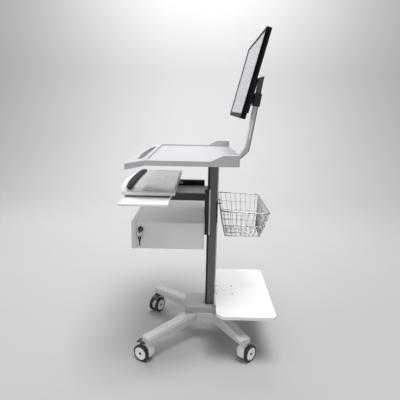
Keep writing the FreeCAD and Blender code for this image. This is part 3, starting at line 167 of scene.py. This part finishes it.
def make_materials():
    paints = {
        "base_paint": powder_coat("base_paint", (0.55, 0.575, 0.55), 0.30),
        "base_cover_plastic": moulded("base_cover_plastic", (0.40, 0.415, 0.405), 0.42),
        "zinc_steel": drawn_metal("zinc_steel", (0.60, 0.60, 0.61), 0.32, "z"),
        "caster_body": moulded("caster_body", (0.78, 0.78, 0.78), 0.30),
        "caster_disc": moulded("caster_disc", (0.93, 0.93, 0.92), 0.26),
        "caster_tyre": moulded("caster_tyre", (0.025, 0.025, 0.028), 0.62, 260, 0.00012),
        "pedal_plastic": moulded("pedal_plastic", (0.045, 0.045, 0.048), 0.50),
        # Also paints the monitor's shade on the arm's bar above the clamp.
        "column_aluminium": drawn_metal("column_aluminium", (0.17, 0.17, 0.172), 0.42, "z"),
        # Also paints the shade along the monitor arm's rear edge as a dark strip.
        "black_strip": moulded("black_strip", (0.012, 0.012, 0.013), 0.40),
        "white_strip": moulded("white_strip", (0.80, 0.80, 0.80), 0.42),
        "black_paint": powder_coat("black_paint", (0.014, 0.014, 0.015), 0.40),
        "worktop_plastic": moulded("worktop_plastic", (0.48, 0.48, 0.50), 0.46, 1100, 0.00003),
        "arm_aluminium": drawn_metal("arm_aluminium", (0.86, 0.87, 0.86), 0.36, "z"),
        "screen_glass": moulded("screen_glass", (0.56, 0.58, 0.65), 0.24, 1800, 0.00001),
        "bezel_plastic": moulded("bezel_plastic", (0.005, 0.005, 0.006), 0.45, IOR=1.15),
        "monitor_plastic": moulded("monitor_plastic", (0.012, 0.011, 0.013), 0.55, IOR=1.2),
        "white_steel": powder_coat("white_steel", (0.86, 0.86, 0.86), 0.38),
        "tray_plastic": moulded("tray_plastic", (0.84, 0.84, 0.84), 0.36),
        "tray_surface": moulded("tray_surface", (0.50, 0.51, 0.51), 0.14, 1400, 0.00001, 0.15,
                                Coat_Weight=1.0, Coat_Roughness=0.08),
        "wrist_fabric": moulded("wrist_fabric", (0.062, 0.058, 0.074), 0.80, 700, 0.0003),
        "chrome_wire": drawn_metal("chrome_wire", (0.34, 0.34, 0.35), 0.24, "z", 700, 0.00001),
        "lock_metal": drawn_metal("lock_metal", (0.60, 0.59, 0.57), 0.25, "x"),
        "status_lens": moulded("status_lens", (0.35, 0.55, 0.75), 0.15),
        "key_plastic": moulded("key_plastic", (0.015, 0.015, 0.016), 0.42),
    }
    return {name: paint.material for name, paint in paints.items()}


# ---------------------------------------------------------------- mesh helpers

def new_object(name, mesh):
    thing = bpy.data.objects.new(name, mesh)
    bpy.context.scene.collection.objects.link(thing)
    return thing


def finish_piece(thing, node, material=None, replaces=()):
    """Gives a piece the material of a CAD node's slot, unless another is given, and the node's body."""
    if material or not thing.data.materials:
        thing.data.materials.clear()
        thing.data.materials.append(material or MATERIALS[SLOT_OF[node]])
    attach(thing, BODY_OF[node])
    if replaces:
        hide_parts(*replaces)
    return thing


def applied(thing):
    """Turns an object's modifiers into its mesh."""
    graph = bpy.context.evaluated_depsgraph_get()
    mesh = bpy.data.meshes.new_from_object(thing.evaluated_get(graph))
    thing.modifiers.clear()
    thing.data = mesh


def welded_copy(node):
    """The CAD node's mesh with its seams joined and its flat faces made whole."""
    shape = bmesh.new()
    shape.from_mesh(frame["nodes"][node].data)
    bmesh.ops.remove_doubles(shape, verts=shape.verts, dist=0.00001)
    bmesh.ops.dissolve_limit(shape, angle_limit=math.radians(0.5), verts=shape.verts, edges=shape.edges)
    return shape


def as_mesh(shape, name):
    mesh = bpy.data.meshes.new(name)
    bmesh.ops.recalc_face_normals(shape, faces=shape.faces)
    shape.to_mesh(mesh)
    shape.free()
    mesh.shade_smooth()
    return mesh


def edges_rounded(thing, width, segments):
    """Bevels every edge sharper than 28 degrees and keeps the flat faces flat in the shading."""
    bevel = thing.modifiers.new("edges", "BEVEL")
    bevel.width = width
    bevel.segments = segments
    bevel.limit_method = "ANGLE"
    bevel.angle_limit = math.radians(28)
    weights = thing.modifiers.new("shading", "WEIGHTED_NORMAL")
    weights.keep_sharp = True
    applied(thing)


def softened(node, width, segments):
    """The CAD node's own shape with its edges rounded as moulding, bending or casting leaves them."""
    thing = new_object(node + "_shown", as_mesh(welded_copy(node), node + "_shown"))
    edges_rounded(thing, width, segments)
    return finish_piece(thing, node, replaces=(node,))


def turned(shape, profile, place, steps, closed=False):
    """Adds a surface of revolution from (along, radius) points, about the +Z axis of a placement."""
    rings = []
    for along, radius in profile:
        angles = [2 * math.pi * i / steps for i in range(steps)] if radius > 0 else [0]
        rings.append([shape.verts.new(place @ Vector((radius * math.cos(a), radius * math.sin(a), along)))
                      for a in angles])
    joints = list(zip(rings, rings[1:])) + ([(rings[-1], rings[0])] if closed else [])
    for first, second in joints:
        for i in range(steps):
            corners = []
            for ring, index in ((first, i), (first, i + 1), (second, i + 1), (second, i)):
                corner = ring[index % len(ring)]
                if corner not in corners:
                    corners.append(corner)
            shape.faces.new(corners)
    return rings


def bend_in(before, corner, after, reach, steps):
    """Points of a soft bend in place of a corner, over some reach but under half of either side."""
    back, ahead = before - corner, after - corner
    reach = min(reach, back.length * 0.45, ahead.length * 0.45)
    start = corner + back.normalized() * reach
    end = corner + ahead.normalized() * reach
    shares = [i / steps for i in range(steps + 1)]
    return [start * (1 - s) ** 2 + corner * 2 * s * (1 - s) + end * s ** 2 for s in shares]


def rounded_profile(corners, radius, steps=4):
    """A profile whose inner corners are replaced by soft bends."""
    points = [Vector(corner) for corner in corners]
    result = [points[0]]
    for before, corner, after in zip(points, points[1:], points[2:]):
        result += bend_in(before, corner, after, radius, steps)
    result.append(points[-1])
    return [(point.x, point.y) for point in result]


def facing(origin, axis, roll=0.0):
    """A placement at a point with +Z along an axis."""
    turn = Vector(axis).to_track_quat("Z", "Y").to_matrix().to_4x4()
    return Matrix.Translation(origin) @ turn @ Matrix.Rotation(roll, 4, "Z")


def islands(node):
    """The lowest and highest corners of each separate solid in a CAD node."""
    shape = welded_copy(node)
    waiting = set(shape.verts)
    boxes = []
    while waiting:
        front = [waiting.pop()]
        found = list(front)
        while front:
            near = [edge.other_vert(vert) for vert in front for edge in vert.link_edges]
            front = list({vert for vert in near if vert in waiting})
            waiting.difference_update(front)
            found += front
        low = Vector([min(vert.co[i] for vert in found) for i in range(3)])
        high = Vector([max(vert.co[i] for vert in found) for i in range(3)])
        boxes.append((low, high))
    shape.free()
    return sorted(boxes, key=lambda pair: tuple(round(v, 4) for v in pair[0]))


def smooth_by_angle(mesh, angle=35):
    mesh.shade_smooth()
    mesh.set_sharp_from_angle(angle=math.radians(angle))


# ---------------------------------------------------------------- casters

WHEEL_INSET = 10 * MM
WHEEL_WIDTH = 17 * MM
WHEEL_RADIUS = 37.5 * MM
DISC_RADIUS = 28 * MM
AXLE_RADIUS = 4 * MM


def disc_profile():
    """Half a wheel centre from its bore to its rim, with a stepped outer face and a recess for the cap."""
    far = WHEEL_INSET + WHEEL_WIDTH
    bore = AXLE_RADIUS + 0.2 * MM
    corners = [(WHEEL_INSET, bore), (WHEEL_INSET, DISC_RADIUS), (far - 0.2 * MM, DISC_RADIUS),
               (far, DISC_RADIUS - 1.4 * MM), (far, 22.6 * MM), (far - 1.1 * MM, 22.0 * MM),
               (far - 1.1 * MM, 20.4 * MM), (far - 0.2 * MM, 19.8 * MM), (far - 0.4 * MM, 9.4 * MM),
               (far - 1.6 * MM, 9.0 * MM), (far - 1.6 * MM, bore)]
    return rounded_profile(corners, 0.5 * MM, 3)


def tyre_profile():
    """A tyre's section: a crowned tread, round shoulders and a thin step at the wheel centre."""
    half = WHEEL_WIDTH / 2 - 0.4 * MM
    middle = WHEEL_INSET + WHEEL_WIDTH / 2
    side = [(half - 1.2 * MM, DISC_RADIUS), (half - 1.2 * MM, DISC_RADIUS + 1.6 * MM),
            (half, DISC_RADIUS + 2.2 * MM), (half, WHEEL_RADIUS - 2.6 * MM),
            (half - 2.6 * MM, WHEEL_RADIUS - 0.4 * MM)]
    far_side = [(middle + along, radius) for along, radius in side]
    near_side = [(middle - along, radius) for along, radius in reversed(side)]
    corners = [(middle, DISC_RADIUS), *far_side, (middle, WHEEL_RADIUS), *near_side, (middle, DISC_RADIUS)]
    return rounded_profile(corners, 1.6 * MM)


def make_wheels():
    """Turned wheel centres, caps and tyres on each caster's axle."""
    for joint in frame["joints"]:
        if not joint["name"].startswith("spin_"):
            continue
        name = joint["name"].removeprefix("spin_")
        centre = Vector(joint["pos_m"])
        axle = Vector(joint["axis"])
        discs, tyres, caps = bmesh.new(), bmesh.new(), bmesh.new()
        end = WHEEL_INSET + 1 * MM
        rod = [(-end, 0), (-end, AXLE_RADIUS), (end, AXLE_RADIUS), (end, 0)]
        turned(discs, rod, facing(centre, axle), 24)
        for side in (-1, 1):
            place = facing(centre, axle * side)
            turned(discs, disc_profile(), place, 72, closed=True)
            turned(tyres, tyre_profile()[:-1], place, 72, closed=True)
            far = WHEEL_INSET + WHEEL_WIDTH
            cap = rounded_profile([(far - 3 * MM, 0), (far - 3 * MM, 6.2 * MM), (far - 0.7 * MM, 6.2 * MM),
                                   (far - 0.2 * MM, 3.5 * MM), (far, 0)], 0.8 * MM, 3)
            turned(caps, cap, place, 32)
        wheel_node = "caster_wheels_" + name
        tyre_node = "caster_tyres_" + name
        disc_piece = new_object(f"wheel_discs_{name}", as_mesh(discs, "discs"))
        smooth_by_angle(disc_piece.data)
        finish_piece(disc_piece, wheel_node, replaces=(wheel_node,))
        tyre_piece = new_object(f"wheel_tyres_{name}", as_mesh(tyres, "tyres"))
        smooth_by_angle(tyre_piece.data, 50)
        finish_piece(tyre_piece, tyre_node, replaces=(tyre_node,))
        cap_piece = new_object(f"wheel_caps_{name}", as_mesh(caps, "caps"))
        smooth_by_angle(cap_piece.data)
        finish_piece(cap_piece, wheel_node, MATERIALS["pedal_plastic"])


# ---------------------------------------------------------------- screws

def cross_head(shape, place, radius, height, sunk=False):
    """A screw head with a cross recess: domed, or flat and countersunk."""
    steps = 32
    angles = [2 * math.pi * i / steps for i in range(steps)]
    narrowness = 14
    lobes = [max(abs(math.cos(angle)), abs(math.sin(angle))) ** narrowness for angle in angles]
    if sunk:
        outside = [(-height, 0.5 * radius), (-0.12 * height, radius), (0, 0.97 * radius),
                   (0, 0.62 * radius)]
    else:
        outside = [(0, 0.4 * radius), (0, radius), (0.45 * height, radius), (0.8 * height, 0.86 * radius),
                   (height, 0.62 * radius)]
    rings = turned(shape, outside, place, steps)
    top = outside[-1][0]
    last = rings[-1]
    for along, scale in ((top, 1.0), (top - 0.55 * height, 0.8)):
        ring = []
        for angle, lobe in zip(angles, lobes):
            reach = radius * scale * (0.13 + 0.36 * lobe)
            point = Vector((reach * math.cos(angle), reach * math.sin(angle), along))
            ring.append(shape.verts.new(place @ point))
        for i in range(steps):
            j = (i + 1) % steps
            shape.faces.new((last[i], last[j], ring[j], ring[i]))
        last = ring
    shape.faces.new(list(reversed(last)))


def make_screws():
    """Cross-recessed heads on the screws of the arm and the top plate, and black ones on the shelf."""
    shape = bmesh.new()
    shank_radius, shelf_shank_radius = 2.3 * MM, 2.2 * MM
    head, shelf_head = 3 * MM, 2 * MM
    screws = islands("panel_screws")
    shelf_screws = [(low, high) for low, high in screws if high.z < column_low.z + 0.1]
    for low, high in screws:
        middle = (low + high) / 2
        radius = (high.x - low.x) / 2
        roll = middle.x * 9  # turns each cross its own way
        if (low, high) in shelf_screws:
            top = Vector((middle.x, middle.y, high.z))
            tip = low.z - high.z
            cross_head(shape, facing(top, (0, 0, 1), roll), radius, shelf_head, sunk=True)
            neck = 0.2 * MM - shelf_head
            shank = [(tip, 0), (tip, shelf_shank_radius), (neck, shelf_shank_radius), (neck, 0)]
            turned(shape, shank, facing(top, (0, 0, 1)), 24)
        else:
            base = Vector((middle.x, middle.y, low.z + head))
            tip = high.z - base.z
            cross_head(shape, facing(base, (0, 0, -1), roll), radius, head)
            shank = [(0, 0), (0, shank_radius), (tip, shank_radius), (tip, 0)]
            turned(shape, shank, facing(base, (0, 0, 1)), 24)
    piece = new_object("panel_screws_shown", as_mesh(shape, "panel_screws_shown"))
    smooth_by_angle(piece.data)
    finish_piece(piece, "panel_screws", replaces=("panel_screws",))
    recoloured(piece, shelf_screws, MATERIALS["black_paint"])


# ---------------------------------------------------------------- wire basket

def wire(name, points, radius, closed, bend):
    """A round wire through corner points, with each corner bent to a radius."""
    data = bpy.data.curves.new(name, "CURVE")
    data.dimensions = "3D"
    data.bevel_depth = radius
    data.bevel_resolution = 4
    data.use_fill_caps = not closed
    path = bent_path(points, bend, closed)
    spline = data.splines.new("POLY")
    spline.points.add(len(path) - 1)
    for place, point in zip(spline.points, path):
        place.co = (*point, 1)
    spline.use_cyclic_u = closed
    return new_object(name, data)


def bent_path(points, bend, closed, steps=6):
    """Corner points replaced by short bends, as a bending machine leaves them."""
    count = len(points)
    path = []
    for i, corner in enumerate(points):
        if not closed and i in (0, count - 1):
            path.append(corner)
            continue
        before, after = points[i - 1], points[(i + 1) % count]
        half = (before - corner).angle(after - corner) / 2
        path += bend_in(before, corner, after, bend / math.tan(half), steps)
    return path


def joined(things, name):
    """One mesh object made from several curve or mesh objects."""
    graph = bpy.context.evaluated_depsgraph_get()
    shape = bmesh.new()
    for thing in things:
        mesh = bpy.data.meshes.new_from_object(thing.evaluated_get(graph))
        shape.from_mesh(mesh)
        bpy.data.objects.remove(thing)
    return new_object(name, as_mesh(shape, name))


def make_basket():
    """A welded wire basket: each long wire runs down one wall, across the floor and up the other."""
    rim_wire, hoop_wire, thin = 2.5 * MM, 1.75 * MM, 1.1 * MM
    bend, hoop_bend = 20 * MM, 10 * MM
    rim_low, rim_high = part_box("basket_hoops")
    floor_low, floor_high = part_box("basket_floor")
    middle = (rim_low.x + rim_high.x) / 2
    drop = 8 * MM
    half = (rim_high.x - rim_low.x) / 2 - rim_wire
    front, rear, top = rim_low.y + rim_wire, rim_high.y - rim_wire, rim_high.z - rim_wire
    gap = rim_wire + 0.6 * MM
    foot_half = (floor_high.x - floor_low.x) / 2 + gap
    foot_front, foot_rear, foot = floor_low.y - gap, floor_high.y + gap, rim_low.z + hoop_wire

    def corners(level, out=0.0):
        side = foot_half + level * (half - foot_half) + out
        near = foot_front + level * (front - foot_front) - out
        far = foot_rear + level * (rear - foot_rear) + out
        z = foot + level * (top - foot)
        return [Vector((middle + side, near, z)), Vector((middle + side, far, z - level * drop)),
                Vector((middle - side, far, z - level * drop)), Vector((middle - side, near, z))]

    middle_level = 64 / 140
    thin_levels = (0.16, 0.31, 0.73)
    lean = math.hypot(1, (half - foot_half) / (top - foot))
    middle_corners = corners(middle_level, (thin + hoop_wire) * lean)
    hoops = [wire("rim", corners(1), rim_wire, True, bend),
             wire("floor_hoop", corners(0), hoop_wire, True, hoop_bend),
             wire("middle_hoop", middle_corners, hoop_wire, True, hoop_bend)]
    hoops += [wire(f"thin_hoop_{i}", corners(level, 2 * thin * lean), thin, True, hoop_bend)
              for i, level in enumerate(thin_levels)]
    finish_piece(joined(hoops, "basket_hoops_shown"), "basket_hoops", replaces=("basket_hoops",))

    high, low = corners(1), corners(0)
    sink = Vector((0, 0, -0.6 * rim_wire))
    inside = 0.2 * MM

    def down(a, b, share):
        """The ends of an upright wire between two corners, from under the rim to the floor hoop."""
        return high[a].lerp(high[b], share) + sink, low[a].lerp(low[b], share) + Vector((0, 0, inside))

    long_wires, cross_wires = [], []
    cross_count, long_count = 8, 15
    wire_bend = 5 * MM
    for i in range(cross_count):
        share = (i + 0.5) / cross_count
        right_top, right_foot = down(0, 1, share)
        left_top, left_foot = down(3, 2, share)
        path = [right_top, right_foot, left_foot, left_top]
        cross_wires.append(wire(f"cross_{i}", path, thin, False, wire_bend))
    lift = Vector((0, 0, 2 * thin))
    for i in range(long_count):
        share = (i + 0.5) / long_count
        front_top, front_foot = down(3, 0, share)
        rear_top, rear_foot = down(2, 1, share)
        path = [front_top, front_foot + lift, rear_foot + lift, rear_top]
        long_wires.append(wire(f"long_{i}", path, thin, False, wire_bend))
    finish_piece(joined(cross_wires, "basket_cross_wires"), "basket_wall_right",
                 replaces=("basket_wall_right", "basket_wall_left"))
    finish_piece(joined(long_wires, "basket_long_wires"), "basket_wall_front",
                 replaces=("basket_wall_front", "basket_wall_rear", "basket_floor"))


# ---------------------------------------------------------------- wrist rest

def make_wrist_rest():
    """A gel pad in stretch cloth, swollen by cloth simulation from a slightly smaller CAD solid."""
    low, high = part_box("wrist_rest")
    centre = Vector(((low.x + high.x) / 2, (low.y + high.y) / 2, low.z))
    smaller = Vector((0.985, 0.90, 0.72))
    shape = welded_copy("wrist_rest")
    for vert in shape.verts:
        vert.co = centre + (vert.co - centre) * smaller
    pad = new_object("wrist_rest_pad", as_mesh(shape, "wrist_rest_pad"))
    remesh = pad.modifiers.new("remesh", "REMESH")
    remesh.mode = "VOXEL"
    remesh.voxel_size = 4.5 * MM
    applied(pad)
    inflate(pad, 5 * MM)
    smooth = pad.modifiers.new("smooth", "SMOOTH")
    smooth.factor = 0.5
    smooth.iterations = 8
    surface = pad.modifiers.new("surface", "SUBSURF")
    surface.levels = 1
    surface.render_levels = 1
    applied(pad)
    for vert in pad.data.vertices:
        vert.co.z = max(low.z + 0.05 * MM, min(vert.co.z, high.z - 0.1 * MM))
    pad.data.shade_smooth()
    finish_piece(pad, "wrist_rest", replaces=("wrist_rest",))


def inflate(pad, most):
    """Swells a closed mesh by pressure, like cloth over a filling, and caps how far its points move."""
    start = [vert.co.copy() for vert in pad.data.vertices]
    cloth = pad.modifiers.new("cloth", "CLOTH")
    cloth.settings.use_pressure = True
    cloth.settings.uniform_pressure_force = 4
    cloth.settings.effector_weights.gravity = 0
    scene = bpy.context.scene
    for number in range(1, 21):
        scene.frame_set(number)
    applied(pad)
    scene.frame_set(1)
    for vert, place in zip(pad.data.vertices, start):
        move = vert.co - place
        if move.length > most:
            vert.co = place + move.normalized() * most


# ---------------------------------------------------------------- monitor and arm

def monitor_axes():
    """The monitor's own directions: right, up the glass, and out of the glass towards the user."""
    mesh = frame["nodes"]["screen_panel"].data
    facing_user = [face for face in mesh.polygons if face.normal.y < -0.5]
    out = max(facing_user, key=lambda face: face.area).normal.copy()
    right = Vector((1, 0, 0))
    return right, out.cross(right).normalized(), out


def spread(node, direction):
    """How far a node reaches along a direction, as its lowest and highest values."""
    values = [vert.co.dot(direction) for vert in frame["nodes"][node].data.vertices]
    return min(values), max(values)


def block_in(shape, place, size, bevel):
    """Adds a block with softened edges, centred on a placement."""
    made = bmesh.ops.create_cube(shape, size=1, matrix=place @ Matrix.Diagonal((*size, 1)))
    edges = list({edge for vert in made["verts"] for edge in vert.link_edges})
    bmesh.ops.bevel(shape, geom=edges, offset=bevel, segments=2, affect="EDGES", profile=0.5)


def make_monitor_details():
    """The status light, the control buttons under the bezel, and the vents at the back."""
    right, up, out = monitor_axes()
    turn = Matrix((right, up, out)).transposed().to_4x4()
    east = spread("monitor_bezel", right)[1]
    foot = spread("monitor_bezel", up)[0]
    front = spread("monitor_bezel", out)[1]

    def on_monitor(x, rise, depth):
        """A placement x in from the right-hand edge, up from the lower edge and back from the front."""
        return Matrix.Translation(right * (east - x) + up * (foot + rise) + out * (front - depth)) @ turn

    light = bmesh.new()
    lens_radius = 1.6 * MM
    lens = [(-0.6 * MM, 0), (-0.6 * MM, lens_radius), (0.2 * MM, lens_radius), (0.28 * MM, 0)]
    turned(light, rounded_profile(lens, 0.3 * MM), on_monitor(30 * MM, 9 * MM, 0.2 * MM), 24)
    piece = new_object("status_light", as_mesh(light, "status_light"))
    finish_piece(piece, "monitor_bezel", MATERIALS["status_lens"])

    buttons = bmesh.new()
    button = (9 * MM, 2.6 * MM, 3 * MM)
    for i in range(5):
        place = on_monitor((36 + 14 * i) * MM, 0.6 * MM, 6 * MM)
        block_in(buttons, place, button, 0.5 * MM)
    piece = new_object("monitor_buttons", as_mesh(buttons, "monitor_buttons"))
    smooth_by_angle(piece.data)
    finish_piece(piece, "monitor_bezel", MATERIALS["monitor_plastic"])

    ribs = bmesh.new()
    hump = 19 * MM  # stands out behind the flat of the case that carries the vents
    flat = front - spread("monitor_back", out)[0] - hump
    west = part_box("monitor_bezel")[0].x
    width = east - west
    rib = (0.2 * width, 3 * MM, 1.2 * MM)
    off_centre = 0.17 * width
    for row in range(9):
        for side in (-1, 1):
            place = on_monitor(width / 2 - side * off_centre, (212 + 8 * row) * MM, flat)
            block_in(ribs, place, rib, 0.4 * MM)
    piece = new_object("monitor_vents", as_mesh(ribs, "monitor_vents"))
    smooth_by_angle(piece.data)
    finish_piece(piece, "monitor_back", MATERIALS["monitor_plastic"])


def rear_outline(node):
    """The corners down the rear side of a bent bar, from its foot to its tip, as (y, z)."""
    corners = sorted({(round(v.co.z, 4), round(v.co.y, 4)) for v in frame["nodes"][node].data.vertices})
    chain = []
    for z, y in corners:
        while chain and chain[-1][1] <= z and len(chain) > 1:
            (y0, z0), (y1, z1) = chain[-2:]
            if (y1 - y0) * (z - z0) - (z1 - z0) * (y - y0) > 0:
                break
            chain.pop()
        if chain and chain[-1][1] == z:
            chain[-1] = (max(y, chain[-1][0]), z)
        else:
            chain.append((y, z))
    return chain


def make_arm():
    """The arm with eased edges, painted shade along its rear edge as a black strip, and painted shade on the bar
    above the clamp in the darker column aluminium.
    """
    # The width of the black strip that paints the shade along the arm's rear edge.
    rear_shade_width = 3.4 * MM
    shape = welded_copy("monitor_arm")
    points = rear_outline("monitor_arm")
    lines = []
    for (y0, z0), (y1, z1) in zip(points, points[1:]):
        start, end = Vector((0, y0, z0)), Vector((0, y1, z1))
        run = Vector((0, y1 - y0, z1 - z0)).normalized()
        inward = Vector((0, -run.z, run.y))
        lines.append((start, run, (end - start).length, inward))
    for start, run, length, inward in lines:
        near = [face for face in shape.faces
                if -rear_shade_width < (face.calc_center_median() - start).dot(run) < length + rear_shade_width
                or any(-rear_shade_width < (v.co - start).dot(run) < length + rear_shade_width for v in face.verts)]
        edges = {edge for face in near for edge in face.edges}
        verts = {vert for face in near for vert in face.verts}
        bmesh.ops.bisect_plane(shape, geom=[*near, *edges, *verts], plane_co=start + inward * rear_shade_width,
                               plane_no=inward, dist=1e-6)
    clamp_low, clamp_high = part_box("arm_clamp")
    clamped = (clamp_low.z + clamp_high.z) / 2
    everything = [*shape.faces, *shape.edges, *shape.verts]
    bmesh.ops.bisect_plane(shape, geom=everything, plane_co=(0, 0, clamped), plane_no=(0, 0, 1), dist=1e-6)
    # The arm's own colour, the black strip that paints shade along the rear edge, and the dark column aluminium
    # that paints the monitor's shade above the clamp.
    materials = [SLOT_OF["monitor_arm"], "black_strip", "column_aluminium"]
    bright, rear_shade, shade_above_clamp = range(3)
    for face in shape.faces:
        middle = face.calc_center_median()
        # Faces above the clamp take the dark aluminium: painted shade under the monitor.
        face.material_index = shade_above_clamp if middle.z > clamped else bright
        for start, run, length, inward in lines:
            along = (middle - start).dot(run)
            # Faces along the rear edge take the black strip: painted shade.
            if -rear_shade_width < along < length + rear_shade_width and -0.1 * MM < (middle - start).dot(inward) < rear_shade_width:
                face.material_index = rear_shade
    mesh = as_mesh(shape, "monitor_arm_shown")
    thing = new_object("monitor_arm_shown", mesh)
    for name in materials:
        mesh.materials.append(MATERIALS[name])
    edges_rounded(thing, 1.2 * MM, 2)
    finish_piece(thing, "monitor_arm", replaces=("monitor_arm",))


# ---------------------------------------------------------------- pieces that keep their CAD shape

# How wide each piece's edges are rounded, in millimetres, and in how many steps.
ROUNDED = {
    "worktop": (4.5, 4), "base_hub": (2.5, 3), "base_cover": (0.8, 2), "column": (0.6, 2),
    "column_front_strip": (0.8, 2), "column_cable_cover": (0.8, 2), "top_plate": (0.8, 2),
    "leg_front_left": (3, 3), "leg_front_right": (3, 3), "leg_rear_left": (3, 3), "leg_rear_right": (3, 3),
    "monitor_bezel": (1, 2), "monitor_back": (1.5, 2), "arm_clamp": (1.5, 3), "vesa_bracket": (0.6, 2),
    "keyboard_bracket": (0.5, 2), "keyboard_tray": (2, 3), "mouse_tray": (0.7, 2),
    "drawer_cabinet": (0.4, 2), "drawer_front": (3, 3), "drawer_tray": (0.4, 2), "slide_rails": (0.4, 2),
    "lock_body": (0.6, 2), "lock_plug": (0.4, 2), "key": (0.6, 2), "spare_key": (0.5, 2),
    "column_bracket": (0.8, 2), "basket_hooks": (0.8, 2), "lower_shelf": (0.9, 3),
    "shelf_bracket": (0.6, 2),
    "caster_housing_front_left": (2, 3), "caster_housing_front_right": (2, 3),
    "caster_housing_rear_left": (2, 3), "caster_housing_rear_right": (2, 3),
    "brake_pedal_front_left": (1, 2), "brake_pedal_front_right": (1, 2),
}


def recoloured(thing, boxes, material):
    """Gives another material to the faces of a piece whose middles lie inside any of some boxes."""
    thing.data.materials.append(material)
    for face in thing.data.polygons:
        for low, high in boxes:
            if all(low[i] - 0.1 * MM <= face.center[i] <= high[i] + 0.1 * MM for i in range(3)):
                face.material_index = len(thing.data.materials) - 1


def make_rounded_pieces():
    """The pieces above, with white strips by the column and black sides on the keyboard bracket."""
    pieces = {node: softened(node, width * MM, steps) for node, (width, steps) in ROUNDED.items()}
    strip_most = 4 * MM
    strips = [(low, high) for low, high in islands("column_bracket") if high.x - low.x < strip_most]
    recoloured(pieces["column_bracket"], strips, MATERIALS["white_strip"])
    low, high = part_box("keyboard_bracket")
    sheet = 2.2 * MM
    flanks = [((x - sheet, low.y, low.z), (x + sheet, high.y, high.z)) for x in (low.x, high.x)]
    recoloured(pieces["keyboard_bracket"], flanks, MATERIALS["black_paint"])


def dress_frame():
    """Gives every CAD node the material of its slot."""
    for node, thing in frame["nodes"].items():
        material = MATERIALS[SLOT_OF[node]]
        if not thing.material_slots:
            thing.data.materials.append(material)
        for place in thing.material_slots:
            place.material = material


# ---------------------------------------------------------------- stage

def make_floor():
    """A pale floor that curves up into a backdrop behind the cart."""
    reach, bend, steps = 9.0, 1.6, 12
    wall = -4.2
    profile = [(reach, 0.0), (wall + bend, 0.0)]
    for i in range(1, steps + 1):
        turn = math.pi / 2 * i / steps
        profile.append((wall + bend - bend * math.sin(turn), bend - bend * math.cos(turn)))
    profile.append((wall, reach))
    mesh = bpy.data.meshes.new("floor")
    points = [(x, side, z) for x, z in profile for side in (-reach, reach)]
    faces = [(2 * i, 2 * i + 1, 2 * i + 3, 2 * i + 2) for i in range(len(profile) - 1)]
    mesh.from_pydata(points, [], faces)
    mesh.shade_smooth()
    floor = new_object("floor", mesh)
    paint = Paint("floor_paint", (0.44, 0.44, 0.44), 0.80)
    paint.mottled(1.5, 0.01)
    paint.bumped(paint.noise(120, 3), 0.0002)
    mesh.materials.append(paint.material)


def make_light(name, place, target, size, power):
    """A square white light of a size in metres and a power in watts, aimed at a point."""
    data = bpy.data.lights.new(name, "AREA")
    data.shape = "SQUARE"
    data.size = size
    data.energy = power
    light = bpy.data.objects.new(name, data)
    light.location = place
    light.rotation_mode = "QUATERNION"
    light.rotation_quaternion = (Vector(target) - Vector(place)).to_track_quat("-Z", "Y")
    bpy.context.scene.collection.objects.link(light)


def make_lights():
    middle = (AXIS_X, 0, 0.7)
    make_light("ceiling", (1.2, 0.5, 5.3), middle, 2.2, 250)
    make_light("user_side", (0.6, -3.4, 2.4), middle, 2.0, 27)
    make_light("low_fill", (2.8, -0.8, 0.5), (0, 0, 0.1), 0.8, 4)
    make_light("far_fill", (-2.4, -1.8, 2.6), middle, 2.2, 12)
    make_light("wall_wash", (-2.2, 0.0, 3.6), (-4.2, 0, 1.4), 2.5, 125)
    world = bpy.data.worlds.new("surroundings")
    world.use_nodes = True
    background = world.node_tree.nodes["Background"]
    background.inputs["Color"].default_value = (0.92, 0.93, 0.95, 1)
    background.inputs["Strength"].default_value = 0.32
    bpy.context.scene.world = world


def make_camera():
    """Stands at the user's right, level with the monitor, and looks down a little at the cart's side."""
    distance = 1.7206
    sideways = 0.0499
    height = 1.0772
    pitch, yaw, roll = 0.234, 0.003, 0.02
    data = bpy.data.cameras.new("camera")
    data.lens = 35.17
    data.sensor_width = 36
    camera = bpy.data.objects.new("camera", data)
    bpy.context.scene.collection.objects.link(camera)
    turn = Matrix.Rotation(yaw, 3, "Z")
    forward = turn @ Vector((-1, 0, 0))
    right = turn @ Vector((0, 1, 0))
    up = Vector((0, 0, 1))
    ahead = forward * math.cos(pitch) - up * math.sin(pitch)
    above = up * math.cos(pitch) + forward * math.sin(pitch)
    right_rolled = right * math.cos(roll) + above * math.sin(roll)
    up_rolled = above * math.cos(roll) - right * math.sin(roll)
    axes = Matrix((right_rolled, up_rolled, -ahead)).transposed()
    column_y = (column_low.y + column_high.y) / 2
    axis_offset = 0.00275  # the extrusion's middle lies this far behind the column's axis
    place = Vector((AXIS_X + distance, column_y - axis_offset - sideways, height))
    camera.matrix_world = Matrix.Translation(place) @ axes.to_4x4()
    bpy.context.scene.camera = camera


MATERIALS = make_materials()
make_camera()
dress_frame()
make_rounded_pieces()
make_arm()
make_monitor_details()
make_wheels()
make_screws()
make_basket()
make_wrist_rest()
make_floor()
make_lights()
bpy.context.scene.view_settings.view_transform = "Standard"
